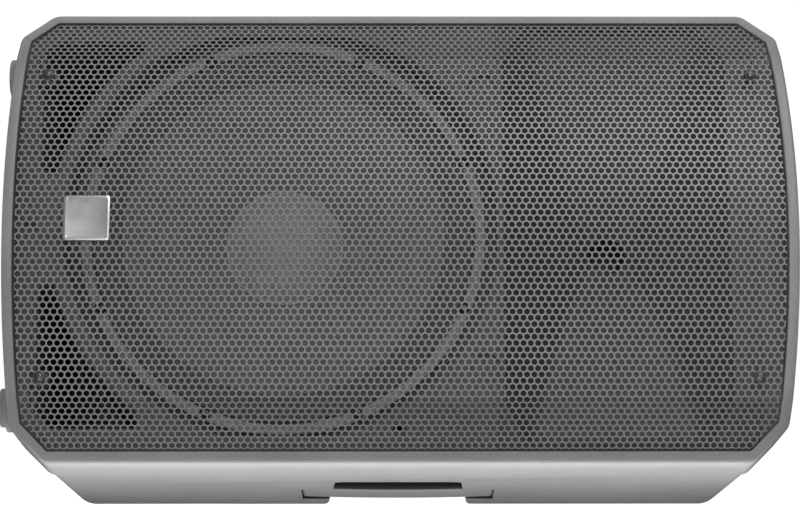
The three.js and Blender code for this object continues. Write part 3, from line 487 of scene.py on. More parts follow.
def front_depth(x):
    across = min(abs(x), FACET_X)
    bow = BOW_RADIUS - sqrt(BOW_RADIUS ** 2 - across ** 2)
    return bow + max(abs(x) - FACET_X, 0) * FACET_SLOPE


def baffle_depth(x):
    return BAFFLE_DEPTH + max(abs(x) - FACET_X, 0) * FACET_SLOPE


def slab(near, far, half_width, z0, z1):
    """Everything between two depths, each a function of x."""
    stations = [-half_width, *BOW_STATIONS, half_width]
    ahead = [(x, FRONT_Y + near(x)) for x in stations]
    behind = [(x, FRONT_Y + far(x)) for x in stations[::-1]]
    return prism_z(ahead + behind, z0, z1)


def flat_slab(depth0, depth1, half_width, z0, z1):
    """The same between two lines parallel to the baffle."""
    xs = [-half_width, -FACET_X, FACET_X, half_width]
    ahead = [(x, FRONT_Y + baffle_depth(x) + depth0) for x in xs]
    behind = [(x, FRONT_Y + baffle_depth(x) + depth1) for x in xs[::-1]]
    return prism_z(ahead + behind, z0, z1)


GRILLE_SCREWS = [middle(f"grille_screw_{k}") for k in (1, 2, 3, 4)]
BOLTS = [middle(f"woofer_screw_{k}") for k in range(1, 9)]


# ---- front moulding -------------------------------------------------------------------------
def port_outline(side, grow):
    radius = 220 - grow
    inner, outer = 55 - grow, 187 + grow
    low, high = MID_Z - 336 - grow, MID_Z - 244 + grow
    start = atan2(high - WOOFER_Z, sqrt(radius ** 2 - (WOOFER_Z - high) ** 2))
    end = atan2(-sqrt(radius ** 2 - inner ** 2), inner)
    corners = [(inner, low), (outer - 12, low), (outer, low + 12), (outer, high)]
    radii = [7, 8, 8, 0]
    steps = 24
    for k in range(steps + 1):
        angle = start + (end - start) * k / steps
        corners.append((radius * cos(angle), WOOFER_Z + radius * sin(angle)))
        radii.append(0)
    ring = rounded(corners, radii, 5)
    placed = [(side * x, z) for x, z in ring]
    return placed if side > 0 else placed[::-1]


def port_cutter(side):
    steps = [(5.0, 20, False), (5.0, 0, True), (3.0, 0.6, True), (1.4, 1.8, True), (0.4, 3.4, True),
             (0.0, 5.2, True), (0.0, 125, False)]
    rings = []
    for grow, depth, follows in steps:
        rings.append([(x, FRONT_Y + depth + (baffle_depth(x) if follows else 0), z)
                      for x, z in port_outline(side, grow)])
    return loft(rings)


def front_moulding():
    edge = 2.8
    profile = [(WALL, SEAM_DEPTH, False), (0.9, SEAM_DEPTH, False), (0.3, SEAM_DEPTH - 0.3, False),
               (0.0, SEAM_DEPTH - 1.0, False)]
    profile += [(edge * (1 - c), edge * (1 - s), True) for s, c in quarter(5)]
    profile += [(RIM - 1.2, 0.0, True), (RIM - 0.5, 0.25, True), (RIM - 0.1, 0.9, True), (RIM, 1.8, True)]
    rings = []
    for inset, depth, follows in profile:
        rings.append([(x, FRONT_Y + depth + (front_depth(x) if follows else 0), z)
                      for x, z in outline(inset)])
    for inset in (RIM + 0.4, WALL):
        rings.append([(x, FRONT_Y + baffle_depth(x) + BAFFLE_THICK, z) for x, z in outline(inset)])
    bezel = loft(rings, through=True)

    plate = common(flat_slab(0, BAFFLE_THICK, HALF_WIDTH, -20, 780), prism_y(outline(RIM - 2), 0, 120))
    cup_floor = 76.3
    cup = common(
        rod_y(205.5, BAFFLE_DEPTH + 1, cup_floor + 6, 0, WOOFER_Z, 160),
        slab(lambda x: baffle_depth(x) + 1, lambda x: 90, 198, -20, 780),
    )
    plate = join(plate, cup)
    recess = turned([(AXIS, -5), (206.5, -5), (206.5, BAFFLE_DEPTH), (205.6, BAFFLE_DEPTH + 0.4),
                     (203.4, BAFFLE_DEPTH + 2.6), (202.5, BAFFLE_DEPTH + 4.5), (202.5, cup_floor),
                     (AXIS, cup_floor)], 0, WOOFER_Z, 160)
    recess = common(recess, block((-195, 195), (FRONT_Y - 10, FRONT_Y + 100), (0, 760)))
    flange_low, flange_high = span("horn")[0][2] - 0.3, span("horn")[1][2] + 0.3
    seat = flat_slab(-8, 3.8, 206.3, flange_low, flange_high)
    mouth = block((-200, 200), (FRONT_Y, FRONT_Y + 120), (flange_low + 4, HORN_Z + 107))
    plate = cut(plate, recess, rod_y(WOOFER_HOLE, 20, 120, 0, WOOFER_Z, 128), seat, mouth,
                port_cutter(-1), port_cutter(1))
    pillars = []
    for x, _, z in GRILLE_SCREWS:
        if z < MID_Z:
            pillars.append(turned([(AXIS, 30), (6.6, 30), (7.6, 30.5), (8, 31.5), (8.6, 43), (AXIS, 43)],
                                  x, z, 40))
    plate = join(plate, *pillars)
    holes = []
    for x, z in [(s * 191, MID_Z + h) for s in (-1, 1)
                 for h in (-309, -156, 0, 154, 312)] + [(0, MID_Z - 344)]:
        depth = baffle_depth(x)
        holes.append(turned([(AXIS, depth - 12), (7.2, depth - 12), (6.4, depth + 5.5), (3.4, depth + 6),
                             (3.4, depth + 5.9), (AXIS, depth + 5.9)], x, z, 32))
    for x in (-135, 135):
        z = MID_Z + 80
        holes.append(turned([(AXIS, 20), (14.6, 20), (14.6, 36), (14, 37.2), (14, 40), (AXIS, 40)], x, z, 48))
    for x, _, z in GRILLE_SCREWS:
        holes.append(rod_y(2.6, 10, 60, x, z, 20))
    plate = cut(plate, *holes)
    return bezel, plate


bezel, baffle = front_moulding()
piece(bezel, "front_bezel", MOULDED, replaces="front_moulding", crease=28)
piece(baffle, "front_baffle", BAFFLE, replaces="front_moulding", crease=28)


# ---- rear shell -----------------------------------------------------------------------------
def shell_taper(depth):
    side = SEAM_STEP + SIDE_CURVE * max(depth - SIDE_CURVE_DEPTH, 0) ** 2
    return side, SEAM_STEP + (depth - SEAM_DEPTH) * END_TAPER


def shell_section(inset, depth):
    side, end = shell_taper(depth)
    return ring_at(outline(inset, side, end), FRONT_Y + depth)


SEAM_GROOVE = 2.6
SEAM_INSET = 1.5
POCKET_DEPTH = 192          # the pocket's front edge
POCKET_FRONT = 61           # its half length there
POCKET_SPREAD = 14 / 208    # and how fast that grows backwards
POCKET_SHADE_INSET = 5.5           # the painted shade (near-black material) starts this far under the side surface


def pocket_ring(x, grow, follow=True):
    """The pocket's edge, offset by grow, on the side surface or at a fixed x."""
    rear = DEPTH + 10
    corners = [(POCKET_DEPTH - grow, side * (POCKET_FRONT + grow)) for side in (-1, 1)]
    corners += [(depth, POCKET_FRONT + POCKET_SPREAD * (depth - POCKET_DEPTH) + grow)
                for depth in (320, 345, 368, 384, rear)]
    corners += [(depth, -half) for depth, half in corners[:1:-1]]
    ring = rounded(corners, [max(9 + grow, 2)] * 2 + [0] * 10, 6)
    points = []
    for depth, z in ring:
        here = HALF_WIDTH - shell_taper(min(depth, 384))[0] - x if follow else x
        points.append((here, FRONT_Y + depth, MID_Z + z))
    return points


def mirrored(rings, side):
    return [[(side * x, y, z) for x, y, z in ring] for ring in rings]


def pocket_cutter(side, lip=3.0):
    rings = [pocket_ring(HALF_WIDTH + 6, lip, False), pocket_ring(0, lip)]
    rings += [pocket_ring(lip * s, lip * (1 - c)) for s, c in quarter(5)[1:]]
    rings += [pocket_ring(177, -1.5, False), pocket_ring(171, -4, False), pocket_ring(168.5, -9, False)]
    return loft(mirrored(rings, side))


def grip_seat(side):
    low, high = span("hand_grip_right")
    xs = (side * (low[0] - 0.5), side * (HALF_WIDTH + 6))
    return block((min(xs), max(xs)), (low[1] - 0.5, high[1] + 0.5), (low[2] - 0.5, high[2] + 0.5))


def rear_shell():
    stations = [SEAM_DEPTH + 0.3, SEAM_DEPTH + SEAM_GROOVE, SEAM_DEPTH + SEAM_GROOVE + 0.6]
    stations += [200, 260, SIDE_CURVE_DEPTH]
    stations += [SIDE_CURVE_DEPTH + 6 * k for k in range(1, 11)]
    rings = []
    for depth in stations:
        inset = SEAM_INSET if depth < SEAM_DEPTH + SEAM_GROOVE + 0.3 else 0
        rings.append(shell_section(inset, depth))
    radius = 15
    rings += [shell_section(radius * (1 - c), DEPTH - radius + radius * s) for s, c in quarter(7)[1:]]
    outside = loft(rings)
    for x in (middle("foot_rear_left")[0], middle("foot_rear_right")[0]):
        outside = join(outside, upright([(AXIS, 12.6), (24.4, 12.6), (25, 13.2), (25, 44), (AXIS, 44)],
                                        x, FRONT_Y + 325, 48))
    inner = [shell_section(SHELL_WALL, d) for d in (SEAM_DEPTH - 5, 260, 330, 360, DEPTH - 12)]
    inner.append(shell_section(SHELL_WALL + 8, DEPTH - SHELL_WALL))
    shell = cut(outside, loft(inner))

    bodies = []
    limits = [shell_section(1, d) for d in (SEAM_DEPTH + 5, 260, SIDE_CURVE_DEPTH, 345, 375)]
    limits += [shell_section(5, DEPTH - 3), shell_section(9, DEPTH - 0.5)]
    for side in (-1, 1):
        grow = SHELL_WALL
        rings = [pocket_ring(2.5, grow), pocket_ring(177, grow, False), pocket_ring(164.5, grow - 6, False)]
        body = loft(mirrored(rings, side))
        bodies.append(common(body, loft(limits)))
        low, high = span("hand_grip_right")
        xs = sorted((side * (low[0] - 4.5), side * (HALF_WIDTH - 3)))
        bodies.append(block(xs, (low[1] - 4.5, high[1] + 4.5), (low[2] - 4.5, high[2] + 4.5)))
    tray_low, tray_high = span("amp_panel")
    grow = SHELL_WALL + 1
    bodies.append(block((tray_low[0] - grow, tray_high[0] + grow), (tray_low[1] - 4.3, FRONT_Y + DEPTH - 1),
                        (tray_low[2] - grow, tray_high[2] + grow)))
    shell = join(shell, *bodies)

    cutters = [pocket_cutter(-1), pocket_cutter(1), grip_seat(-1), grip_seat(1)]
    rings = []
    for grow, y in ((3.5, 8), (3.5, 0.02), (2.2, -0.4), (1.2, -1.3), (0.7, -2.6), (0.5, -4.5)):
        rings.append(tray_ring(grow, FRONT_Y + DEPTH + y))
    rings.append(tray_ring(0.5, tray_low[1] - 0.3))
    cutters.append(loft(rings))
    lip = 7
    cutters.append(block((tray_low[0] + lip, tray_high[0] - lip), (FRONT_Y + DEPTH - 60, FRONT_Y + DEPTH),
                         (tray_low[2] + lip, tray_high[2] - lip)))
    cutters.append(upright([(AXIS, -5), (26.5, -5), (26.5, 8), (25.2, 9), (24.5, 11), (24.5, 60), (AXIS, 60)],
                           0, middle("pole_socket")[1], 64))
    return cut(shell, *cutters)


def tray_ring(grow, y):
    low, high = span("amp_panel")
    x, z = [(low[k] - grow, high[k] + grow) for k in (0, 2)]
    return ring_at(rounded_rectangle(x, z, 1.5 + grow), y)


shell = piece(rear_shell(), "rear_shell_moulded", SHELL, replaces="rear_shell", crease=30)
# Faces inside the pocket take the near-black material: painted shade in the recess.
shell.data.materials.append(POCKET_SHADE)
for face in shell.data.polygons:
    x, y, z = [c / MM for c in face.center]
    if 167 < abs(x) < HALF_WIDTH - POCKET_SHADE_INSET and 190 < y - FRONT_Y < 386 and abs(z - MID_Z) < 76:
        face.material_index = 1


# ---- hand grips -----------------------------------------------------------------------------
END_ROUND = 3.2


def hand_grip(side, word):
    low, high = span("hand_grip_right")
    half = (high[2] - low[2]) / 2
    rings = []
    ends = [(half - END_ROUND * (1 - s), END_ROUND * (1 - c)) for s, c in quarter(5)]
    path = [(-z, shrink) for z, shrink in ends[::-1]]
    path += [(half * (0.94 * (2 * k / 20 - 1)), 0.0) for k in range(1, 20)]
    path += ends
    for z, shrink in path:
        along = z / half
        outer = HALF_WIDTH - 1.7 - 1.8 * along ** 2 - shrink * 0.8
        inner = low[0] + 0.2
        d0, d1 = low[1] + shrink, high[1] - shrink
        ring = rounded([(outer, d0), (outer, d1), (inner, d1), (inner, d0)], [4.5, 4.5, 3, 3], 5)
        rings.append([(side * x, y, MID_Z + z) for x, y in ring])
    bar = piece(loft(rings), f"hand_grip_bar_{word}", GRIP, replaces=f"hand_grip_{word}",
                crease=40)
    bar.data.materials.append(POCKET_SHADE)
    # Faces deep in the pocket and faces turned to the front take the near-black material: painted shade where
    # the cabinet's side shadows the bar.
    for face in bar.data.polygons:
        deep = abs(face.center.x) < (HALF_WIDTH - POCKET_SHADE_INSET) * MM
        if side * face.normal.x < 0.9 and (deep or face.normal.y < -0.3):
            face.material_index = 1


hand_grip(-1, "left")
hand_grip(1, "right")


# ---- grille ---------------------------------------------------------------------------------
PITCH = 6.7
HOLE_RADIUS = 2.75
ROW = PITCH * sqrt(3) / 2
FACET_START = asin(FACET_X / BOW_RADIUS) * BOW_RADIUS
FACET_COS = cos(atan(FACET_SLOPE))


def unrolled(x):
    """Distance along the curved sheet from its middle line."""
    if abs(x) <= FACET_X:
        return asin(x / BOW_RADIUS) * BOW_RADIUS
    return copysign(FACET_START + (abs(x) - FACET_X) / FACET_COS, x)


def rolled(u):
    if abs(u) <= FACET_START:
        return BOW_RADIUS * sin(u / BOW_RADIUS)
    return copysign(FACET_X + (abs(u) - FACET_START) * FACET_COS, u)


def perforated_sheet(half_u, z0, z1):
    """A flat perforated sheet: one six-sided cell to each round hole, twelve points around both."""
    columns = range(int(z0 / PITCH) - 1, int(z1 / PITCH) + 2)
    rows = range(-int(half_u / ROW) - 1, int(half_u / ROW) + 2)
    index, points, faces = {}, [], []
    near, far = 0.0, GRILLE_THICK

    def point(u, z, t):
        key = (round(u * 200), round(z * 200), t)
        if key not in index:
            index[key] = len(points)
            points.append((u, t, z))
        return index[key]

    hole = [(a, b) for b, a in circle(HOLE_RADIUS, 12)]
    cell = [(a, b) for b, a in circle(PITCH / 2, 12)]
    for k in range(1, 12, 2):
        cell[k] = [c / cos(pi / 6) for c in cell[k]]
    used = {}
    for row in rows:
        u = row * ROW
        for column in columns:
            z = (column + (0.5 if row % 2 else 0)) * PITCH
            outer = {t: [point(u + a, z + b, t) for a, b in cell] for t in (near, far)}
            inner = {t: [point(u + a, z + b, t) for a, b in hole] for t in (near, far)}
            for k in range(12):
                n = (k + 1) % 12
                faces.append((outer[near][k], outer[near][n], inner[near][n], inner[near][k]))
                faces.append((inner[far][k], inner[far][n], outer[far][n], outer[far][k]))
                faces.append((inner[near][k], inner[near][n], inner[far][n], inner[far][k]))
                edge = (outer[near][k], outer[near][n])
                used[edge] = (outer[far][n], outer[far][k])
    for (a, b), (c, d) in used.items():
        if (b, a) not in used:
            faces.append((b, a, d, c))
    mesh = bpy.data.meshes.new("sheet")
    mesh.from_pydata([[c * MM for c in p] for p in points], [], faces)
    return show("sheet", mesh)


def grille():
    ring = outline(RIM + 2.0)
    heights = [z for _, z in ring]
    flat = [(unrolled(x), z) for x, z in ring]
    sheet = perforated_sheet(unrolled(HALF_WIDTH), min(heights), max(heights))
    blank = loft([[(u, t, z) for u, z in flat] for t in (-5, 5)])
    sheet = common(sheet, blank)
    for vertex in sheet.data.vertices:
        u, t, z = [c / MM for c in vertex.co]
        x = rolled(u)
        depth = front_depth(x) + GRILLE_SINK + t
        vertex.co = (x * MM, (FRONT_Y + depth) * MM, z * MM)
    return sheet


piece(grille(), "grille_perforated", STEEL_GREY, replaces="grille", crease=40)


def badge():
    low, high = span("badge_plate")
    half = (high[0] - low[0]) / 2
    z = (low[2] + high[2]) / 2
    rings = []
    for inset, y in ((0.0, high[1]), (0.0, low[1] + 0.9), (0.25, low[1] + 0.45), (1.1, low[1] + 0.1),
                     (1.5, low[1]), (2.4, low[1]), (2.7, low[1] + 0.25), (3.0, low[1] + 0.3)):
        reach = half - inset
        rings.append(ring_at(rounded_rectangle((-reach, reach), (z - reach, z + reach), 2.2), y))
    piece(loft(rings), "badge_blank", BADGE, replaces="badge_plate", crease=25)


badge()


def button_head(x, z, under, radius, height, shank, length):
    profile = [(AXIS, under - height), (radius * 0.45, under - height),
               (radius * 0.72, under - height * 0.86),
               (radius * 0.9, under - height * 0.55), (radius, under - height * 0.2), (radius, under),
               (shank, under), (shank, under + length), (AXIS, under + length)]
    head = turned(profile, x, z, 32)
    return cut(head, rod_y(radius * 0.42, under - height - 1, under - height * 0.35, x, z, 6))


for k, (x, y, z) in enumerate(GRILLE_SCREWS, 1):
    low, high = span(f"grille_screw_{k}")
    under = low[1] - FRONT_Y + 2.6
    piece(button_head(x, z, under, 3.4, 2.2, 2.0, 18), f"grille_screw_head_{k}", BLACKENED,
          replaces=f"grille_screw_{k}")
    washer = turned([(2.1, under + 0.02), (4.2, under + 0.02), (5.2, under + 0.5), (5.6, under + 1.4),
                     (5.4, under + 3.6), (2.1, under + 3.6)], x, z, 36)
    piece(washer, f"grille_screw_cup_{k}", BLACK)
for k, (x, y, z) in enumerate(BOLTS, 1):
    under = span(f"woofer_screw_{k}")[0][1] - FRONT_Y + 3
    piece(button_head(x, z, under, 4.5, 3.0, 2.2, 16), f"woofer_screw_head_{k}", BLACKENED,
          replaces=f"woofer_screw_{k}")


# ---- woofer ---------------------------------------------------------------------------------
def cone_depth(radius):
    along = max(radius - 38, 0) / 115
    return 130 - 56 * along ** 0.85


def thick_curve(front, thickness):
    """A closed profile from a list of (radius, depth) points and the same moved back."""
    return front + [(r, d + thickness) for r, d in front[::-1]]


def woofer_frame():
    profile = [(180, 70), (191, 70), (192.2, 70.5), (192.5, 71.6), (192.5, 76), (178, 76), (172, 92),
               (94, 160), (94, 176), (46, 176), (46, 172), (88, 172), (88, 157), (167, 90), (175, 71.5)]
    body = turned(profile, 0, WOOFER_Z, 128)
    windows = []
    for x, _, z in BOLTS:
        angle = atan2(z - WOOFER_Z, x)
        rings = []
        for radial, wide, tall in ((92, 9, 18), (172, 34, 34)):
            ring = rounded_rectangle((-wide, wide), (-tall, tall), 6, 4)
            points = []
            for side, deep in ring:
                px = radial * cos(angle) - side * sin(angle)
                pz = radial * sin(angle) + side * cos(angle)
                points.append((px, FRONT_Y + 125 + deep, WOOFER_Z + pz))
            rings.append(points)
        windows.append(loft(rings))
    body = cut(body, *windows)
    bolts = [rod_y(3.2, 60, 100, x, z, 20) for x, _, z in BOLTS]
    return cut(body, *bolts)


def gasket():
    profile = [(182.2, 65.9), (183.2, 65.0), (191.2, 65.0), (192.2, 65.9), (192.3, 69.7), (182, 69.7)]
    body = turned(profile, 0, WOOFER_Z, 160)
    return cut(body, *[rod_y(6.2, 50, 90, x, z, 28) for x, _, z in BOLTS])


def surround():
    front = []
    folds, steps = 6.5, 78
    for k in range(steps + 1):
        along = k / steps
        radius = 153.3 + along * 26.2
        swell = 1.25 * sin(pi * min(along * 8, 1, (1 - along) * 8) / 2)
        depth = 73.6 - 5 * along - swell * (0.5 - 0.5 * cos(FULL_TURN * folds * along))
        front.append((radius, depth - 0.35))
    return turned(thick_curve(front, 0.7), 0, WOOFER_Z, 144)


def cone():
    front = []
    steps = 60
    for k in range(steps + 1):
        radius = 39 + 114 * k / steps
        rib = 0.22 * (0.5 + 0.5 * cos(FULL_TURN * (radius - 60) / 13)) if 62 < radius < 142 else 0
        collar = 0.7 if radius > 146.5 else 0
        front.append((radius, cone_depth(radius) - rib - collar))
    return turned(thick_curve(front, 1.5), 0, WOOFER_Z, 144)


def dust_cap():
    radius = 55
    base = cone_depth(radius) - 0.3
    front = []
    steps = 22
    for k in range(steps + 1):
        across = AXIS + (radius - 1.5) * k / steps
        front.append((across, base - 1.2 - 18 * (1 - (across / radius) ** 2) ** 0.92))
    front += [(radius - 0.6, base - 1.6), (radius + 0.8, base - 1.3), (radius + 1.6, base - 1.5)]
    back = [(radius + 1.2, base - 0.3), (radius - 2, base - 0.2), (AXIS, base - 17)]
    return turned(front + back, 0, WOOFER_Z, 96)


piece(woofer_frame(), "woofer_basket", CAST, replaces="woofer_frame")
piece(gasket(), "woofer_gasket_segments", FOAM, replaces="woofer_gasket")
pleats = piece(surround(), "woofer_surround_pleats", CLOTH, None,
               replaces="woofer_surround", crease=60)
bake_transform(pleats)
piece(cone(), "woofer_cone_paper", PAPER, "cone_assembly", replaces="woofer_cone", crease=50)
piece(dust_cap(), "woofer_dust_cap", CAP, "cone_assembly", replaces="dust_cap", crease=50)


def spider():
    front = []
    steps = 60
    for k in range(steps + 1):
        along = k / steps
        front.append((39.2 + 47 * along, 150 - 0.4 + 1.1 * sin(FULL_TURN * 6 * along)))
    return turned(thick_curve(front, 0.8), 0, WOOFER_Z, 96)


folds = piece(spider(), "woofer_spider", CLOTH, None, replaces="spider", crease=60)
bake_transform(folds)


# ---- horn -----------------------------------------------------------------------------------
def flare(grow):
    rings = []
    for out in (-4, 0, 3, 7, 12, 18, 25, 33, 42, 52, 63, 75, 88, 102, 116, 132):
        along = max(out, 0)
        half_x = 18 + 1.1 * along + 0.01183 * along ** 2 + grow
        half_z = 18 + 0.74 * along + grow
        power = 2 / (2 + 14 * min(along / 60, 1))
        ring = []
        for c, s in circle(1, 96, turn=0.5):
            ring.append((half_x * copysign(abs(c) ** power, c),
                         FRONT_Y + HORN_DEPTH - out + grow,
                         HORN_Z + half_z * copysign(abs(s) ** power, s)))
        rings.append(ring)
    reach = 203 + grow
    around = block((-reach, reach), (FRONT_Y - 40, FRONT_Y + DEPTH), (HORN_Z - 200, HORN_Z + 200))
    return common(loft(rings), around)


def horn():
    low, high = span("horn")
    body = common(flare(3.5), flat_slab(0, 300, 215, low[2] - 20, high[2] + 20))
    flange = flat_slab(0, 3.5, 206, low[2], high[2])
    seat = rod_y(52, HORN_DEPTH - 6, HORN_DEPTH, 0, HORN_Z, 64)
    body = join(body, flange, seat)
    screws = [rod_y(2.6, 10, 60, x, z, 20) for x, _, z in GRILLE_SCREWS if z > MID_Z]
    recess = turned([(AXIS, 10), (5.5, 10), (5.5, 37.5), (AXIS, 37.5)], 0, MID_Z + 326, 28)
    trim = block((-230, 230), (FRONT_Y, FRONT_Y + HORN_DEPTH), (HORN_Z - 200, HORN_Z + 200))
    return cut(common(body, trim), flare(0), rod_y(18, 140, 170, 0, HORN_Z, 64), *screws, recess)


piece(horn(), "horn_flare", HORN, replaces="horn", crease=24)


# ---- feet and pole socket -------------------------------------------------------------------
for name in ("foot_front_left", "foot_front_right", "foot_rear_left", "foot_rear_right"):
    low, high = span(name)
    x, y, _ = middle(name)
    flange = (high[0] - low[0]) / 2
    top = high[2]
    foot = upright([(3.0, 2.4), (6.4, 2.4), (6.8, 0.3), (7.4, 0), (16.2, 0), (17.6, 0.5), (18.3, 1.8),
                    (18.4, 6.0),
                    (18.9, 6.5), (flange - 0.8, 6.6), (flange - 0.1, 7.1), (flange, 7.9), (flange, top),
                    (3.0, top)], x, y, 64)
    piece(foot, name + "_rubber", RUBBER, replaces=name, crease=35)
    screw = upright([(AXIS, 3.4), (1.6, 3.4), (2.2, 2.7), (4.6, 2.6), (5.6, 3.2), (5.8, 4.2), (2.2, 4.6),
                     (2.2, top - 0.5), (AXIS, top - 0.5)], x, y, 32)
    piece(screw, name + "_screw", ZINC)

low, high = span("pole_socket")
x, y, _ = middle("pole_socket")
socket = upright([(18.3, low[2] + 1.4), (18.8, low[2] + 0.4), (19.8, low[2]), (31.8, low[2]),
                  (32.8, low[2] + 0.4),
                  (33, low[2] + 1.2), (33, 10), (24, 10), (24, high[2]), (AXIS, high[2]), (AXIS, 94),
                  (18.3, 94)],
                 x, y, 72)
piece(socket, "pole_socket_cup", CAST, replaces="pole_socket", crease=35)


# ---- amplifier panel ------------------------------------------------------------------------
def panel_turned(profile, x, z, sides=48):
    """A turned piece whose profile is (radius, distance proud of the panel)."""
    return turned([(r, PANEL_DEPTH + h) for r, h in profile], x, z, sides)


def level_knob(k):
    name = f"level_knob_{k}"
    low, high = span(name)
    x, _, z = middle(name)
    skirt = (high[0] - low[0]) / 2
    body = panel_turned([(AXIS, -12), (2.9, -12), (2.9, 1), (skirt - 0.8, 1), (skirt, 1.6), (skirt, 3.2),
                         (skirt - 0.7, 4), (8.8, 4.4), (8.5, 5), (8.1, 13.4), (7.2, 14.6), (5.6, 14.9),
                         (5.0, 14.2), (AXIS, 14.2)], x, z, 72)
    flutes = [rod_y(0.75, PANEL_DEPTH + 4.8, PANEL_DEPTH + 16, u, v, 10)
              for u, v in circle(8.85, 18, x, z, 0.5)]
    body = cut(body, *flutes)
    piece(body, name + "_cap", BLACK, f"level_{k}", replaces=name, crease=35)
    pointer = block((x - 0.55, x + 0.55), (PANEL_Y + 14.1, PANEL_Y + 15.2), (z + 1.5, z + 7.9))
    piece(soften(pointer, 0.2), name + "_pointer", MARK, f"level_{k}")
    wide = 0.35
    marks = []
    for n in range(11):
        angle = radians(90 + 150 - 30 * n)
        reach = 15.2 if n in (0, 5, 10) else 14.4
        c, s = cos(angle), sin(angle)
        ring = []
        for radial, side in ((12.8, -wide), (reach, -wide), (reach, wide), (12.8, wide)):
            ring.append((x + radial * c - side * s, z + radial * s + side * c))
        marks.append(prism_y(ring, PANEL_DEPTH + 0.02, PANEL_DEPTH + 0.12))
    piece(gather("marks", marks), f"level_marks_{k}", MARK)


for k in (1, 2, 3):
    level_knob(k)


def plate_ring(x, z, half_x, half_z, radius, y, inset):
    half_x -= inset
    half_z -= inset
    ring = rounded_rectangle((x - half_x, x + half_x), (z - half_z, z + half_z), radius - inset)
    return ring_at(ring, PANEL_Y + y)


def raised_plate(x, z, half_x, half_z, height):
    levels = ((0.3, 0.0), (height - 0.6, 0.0), (height - 0.15, 0.25), (height, 0.8))
    return loft([plate_ring(x, z, half_x, half_z, 3, y, inset) for y, inset in levels])


def panel_screw(x, z, proud, name):
    profile = [(AXIS, proud + 1.5), (1.5, proud + 1.5), (2.5, proud + 1.2), (3.1, proud + 0.5), (3.2, proud),
               (1.2, proud - 0.3), (1.2, proud - 4), (AXIS, proud - 4)]
    head = panel_turned(profile, x, z, 28)
    base = PANEL_Y + proud
    bars = [block((x - a, x + a), (base + 0.6, base + 3), (z - b, z + b))
            for a, b in ((1.5, 0.3), (0.3, 1.5))]
    return piece(cut(head, *bars), name, ZINC)


def jack(name, is_input):
    x, _, z = middle(name)
    plate = raised_plate(x, z, 13, 15.5, 2.5)
    back = -24 if is_input else -20
    rim = panel_turned([(AXIS, back), (12, back), (12, 2.4), (11.7, 3.1), (11.2, 3.4), (10.6, 3.4),
                        (10.2, 3.0),
                        (AXIS, 3.0)], x, z, 64)
    body = join(plate, rim)
    deep = -14 if is_input else -13
    body = cut(body, panel_turned([(AXIS, deep), (10, deep), (10, 6), (AXIS, 6)], x, z, 64))
    if is_input:
        body = join(body, panel_turned([(AXIS, -16), (7, -16), (7, -1.6), (6.4, -1), (AXIS, -1)], x, z, 48))
        holes = [panel_turned([(AXIS, -22), (3.3, -22), (3.3, -1.6), (3.9, -0.9), (3.9, 6), (AXIS, 6)],
                              x, z, 32)]
        holes.append(block((x - 4.5, x + 4.5), (PANEL_Y - 5, PANEL_Y + 5), (z + 10.7, z + 14.5)))
        for u, v in circle(5.2, 3, x, z, -0.75):
            holes.append(rod_y(0.9, PANEL_DEPTH - 14, PANEL_DEPTH + 2, u, v, 14))
        body = cut(body, *holes)
    piece(body, name + "_shell", BLACK, replaces=name, crease=35)
    if not is_input:
        pins = [panel_turned([(AXIS, -14), (1.2, -14), (1.2, -0.9), (0.7, -0.2), (AXIS, -0.1)], u, v, 16)
                for u, v in circle(4.5, 3, x, z, 0.75)]
        piece(gather("pins", pins), name + "_pins", BRIGHT)
    for n, (dx, dz) in enumerate(((-9.8, 12.2), (9.8, -12.2)), 1):
        panel_screw(x + dx, z + dz, 2.5, f"{name}_fixing_{n}")


jack("input_jack_1", True)
jack("input_jack_2", True)
jack("output_jack", False)

x, _, z = middle("mode_button")
top = span("mode_button")[1][1] - PANEL_Y
button = panel_turned([(AXIS, -8), (6, -8), (6, -5.5), (4, -5.5), (4, top - 0.7), (3.4, top - 0.1),
                       (2.6, top),
                       (1.8, top - 0.25), (AXIS, top - 0.4)], x, z, 48)
piece(button, "mode_button_cap", BLACK, "mode", replaces="mode_button", crease=35)
collar = panel_turned([(4.7, 0.05), (6.2, 0.05), (6.6, 0.3), (6.4, 0.9), (5.4, 1.2), (4.8, 0.9)], x, z, 48)
piece(collar, "mode_button_collar", BLACK, crease=35)

x, _, z = middle("status_lamp")
lens = panel_turned([(AXIS, -8), (2.8, -8), (2.8, 0.3), (4, 0.3), (4, 0.8), (3.6, 1.2), (2.7, 1.2),
                     (2.5, 1.45), (1.6, 1.5), (AXIS, 1.5)], x, z, 40)
piece(lens, "status_lamp_lens", LAMP, replaces="status_lamp", crease=30)

spots = [(side * 107, PANEL_Z + h) for side in (-1, 1)
         for h in (-190, -95, 0, 95, 190)] + [(0, PANEL_Z + 192)]
for n, (x, z) in enumerate(spots, 1):
    panel_screw(x, z, 0.05, f"panel_screw_{n}")

FINISHES = (
    (BAFFLE, "port_duct_left port_duct_right"), (FELT, "damping_pad"), (COPPER, "voice_coil"),
    (BRIGHT, "top_plate pole_and_yoke jack_tab_1 jack_tab_2"), (FERRITE, "magnet driver_body"),
    (DIAPHRAGM, "driver_diaphragm"), (CAST, "driver_cover"), (PANEL, "amp_panel"), (FINS, "heat_sink"),
    (BOARD, "amp_board power_supply input_board"), (BLACK, "mains_inlet switch_housing switch_rocker"),
    (LEAD, "woofer_lead driver_lead"),
)
EDGES = (
    (0.2, "amp_board power_supply input_board"), (0.35, "heat_sink"),
    (0.4, "amp_panel jack_tab_1 jack_tab_2"),
    (0.5, "mains_inlet switch_housing"), (0.6, "switch_rocker"), (0.8, "top_plate pole_and_yoke"),
    (1.0, "driver_cover"), (1.2, "driver_body"), (1.5, "magnet"), (6.0, "damping_pad"),
)
for material, names in FINISHES:
    for name in names.split():
        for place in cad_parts[name].material_slots:
            place.material = material
for width, names in EDGES:
    for name in names.split():
        soften(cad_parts[name], width, 40)


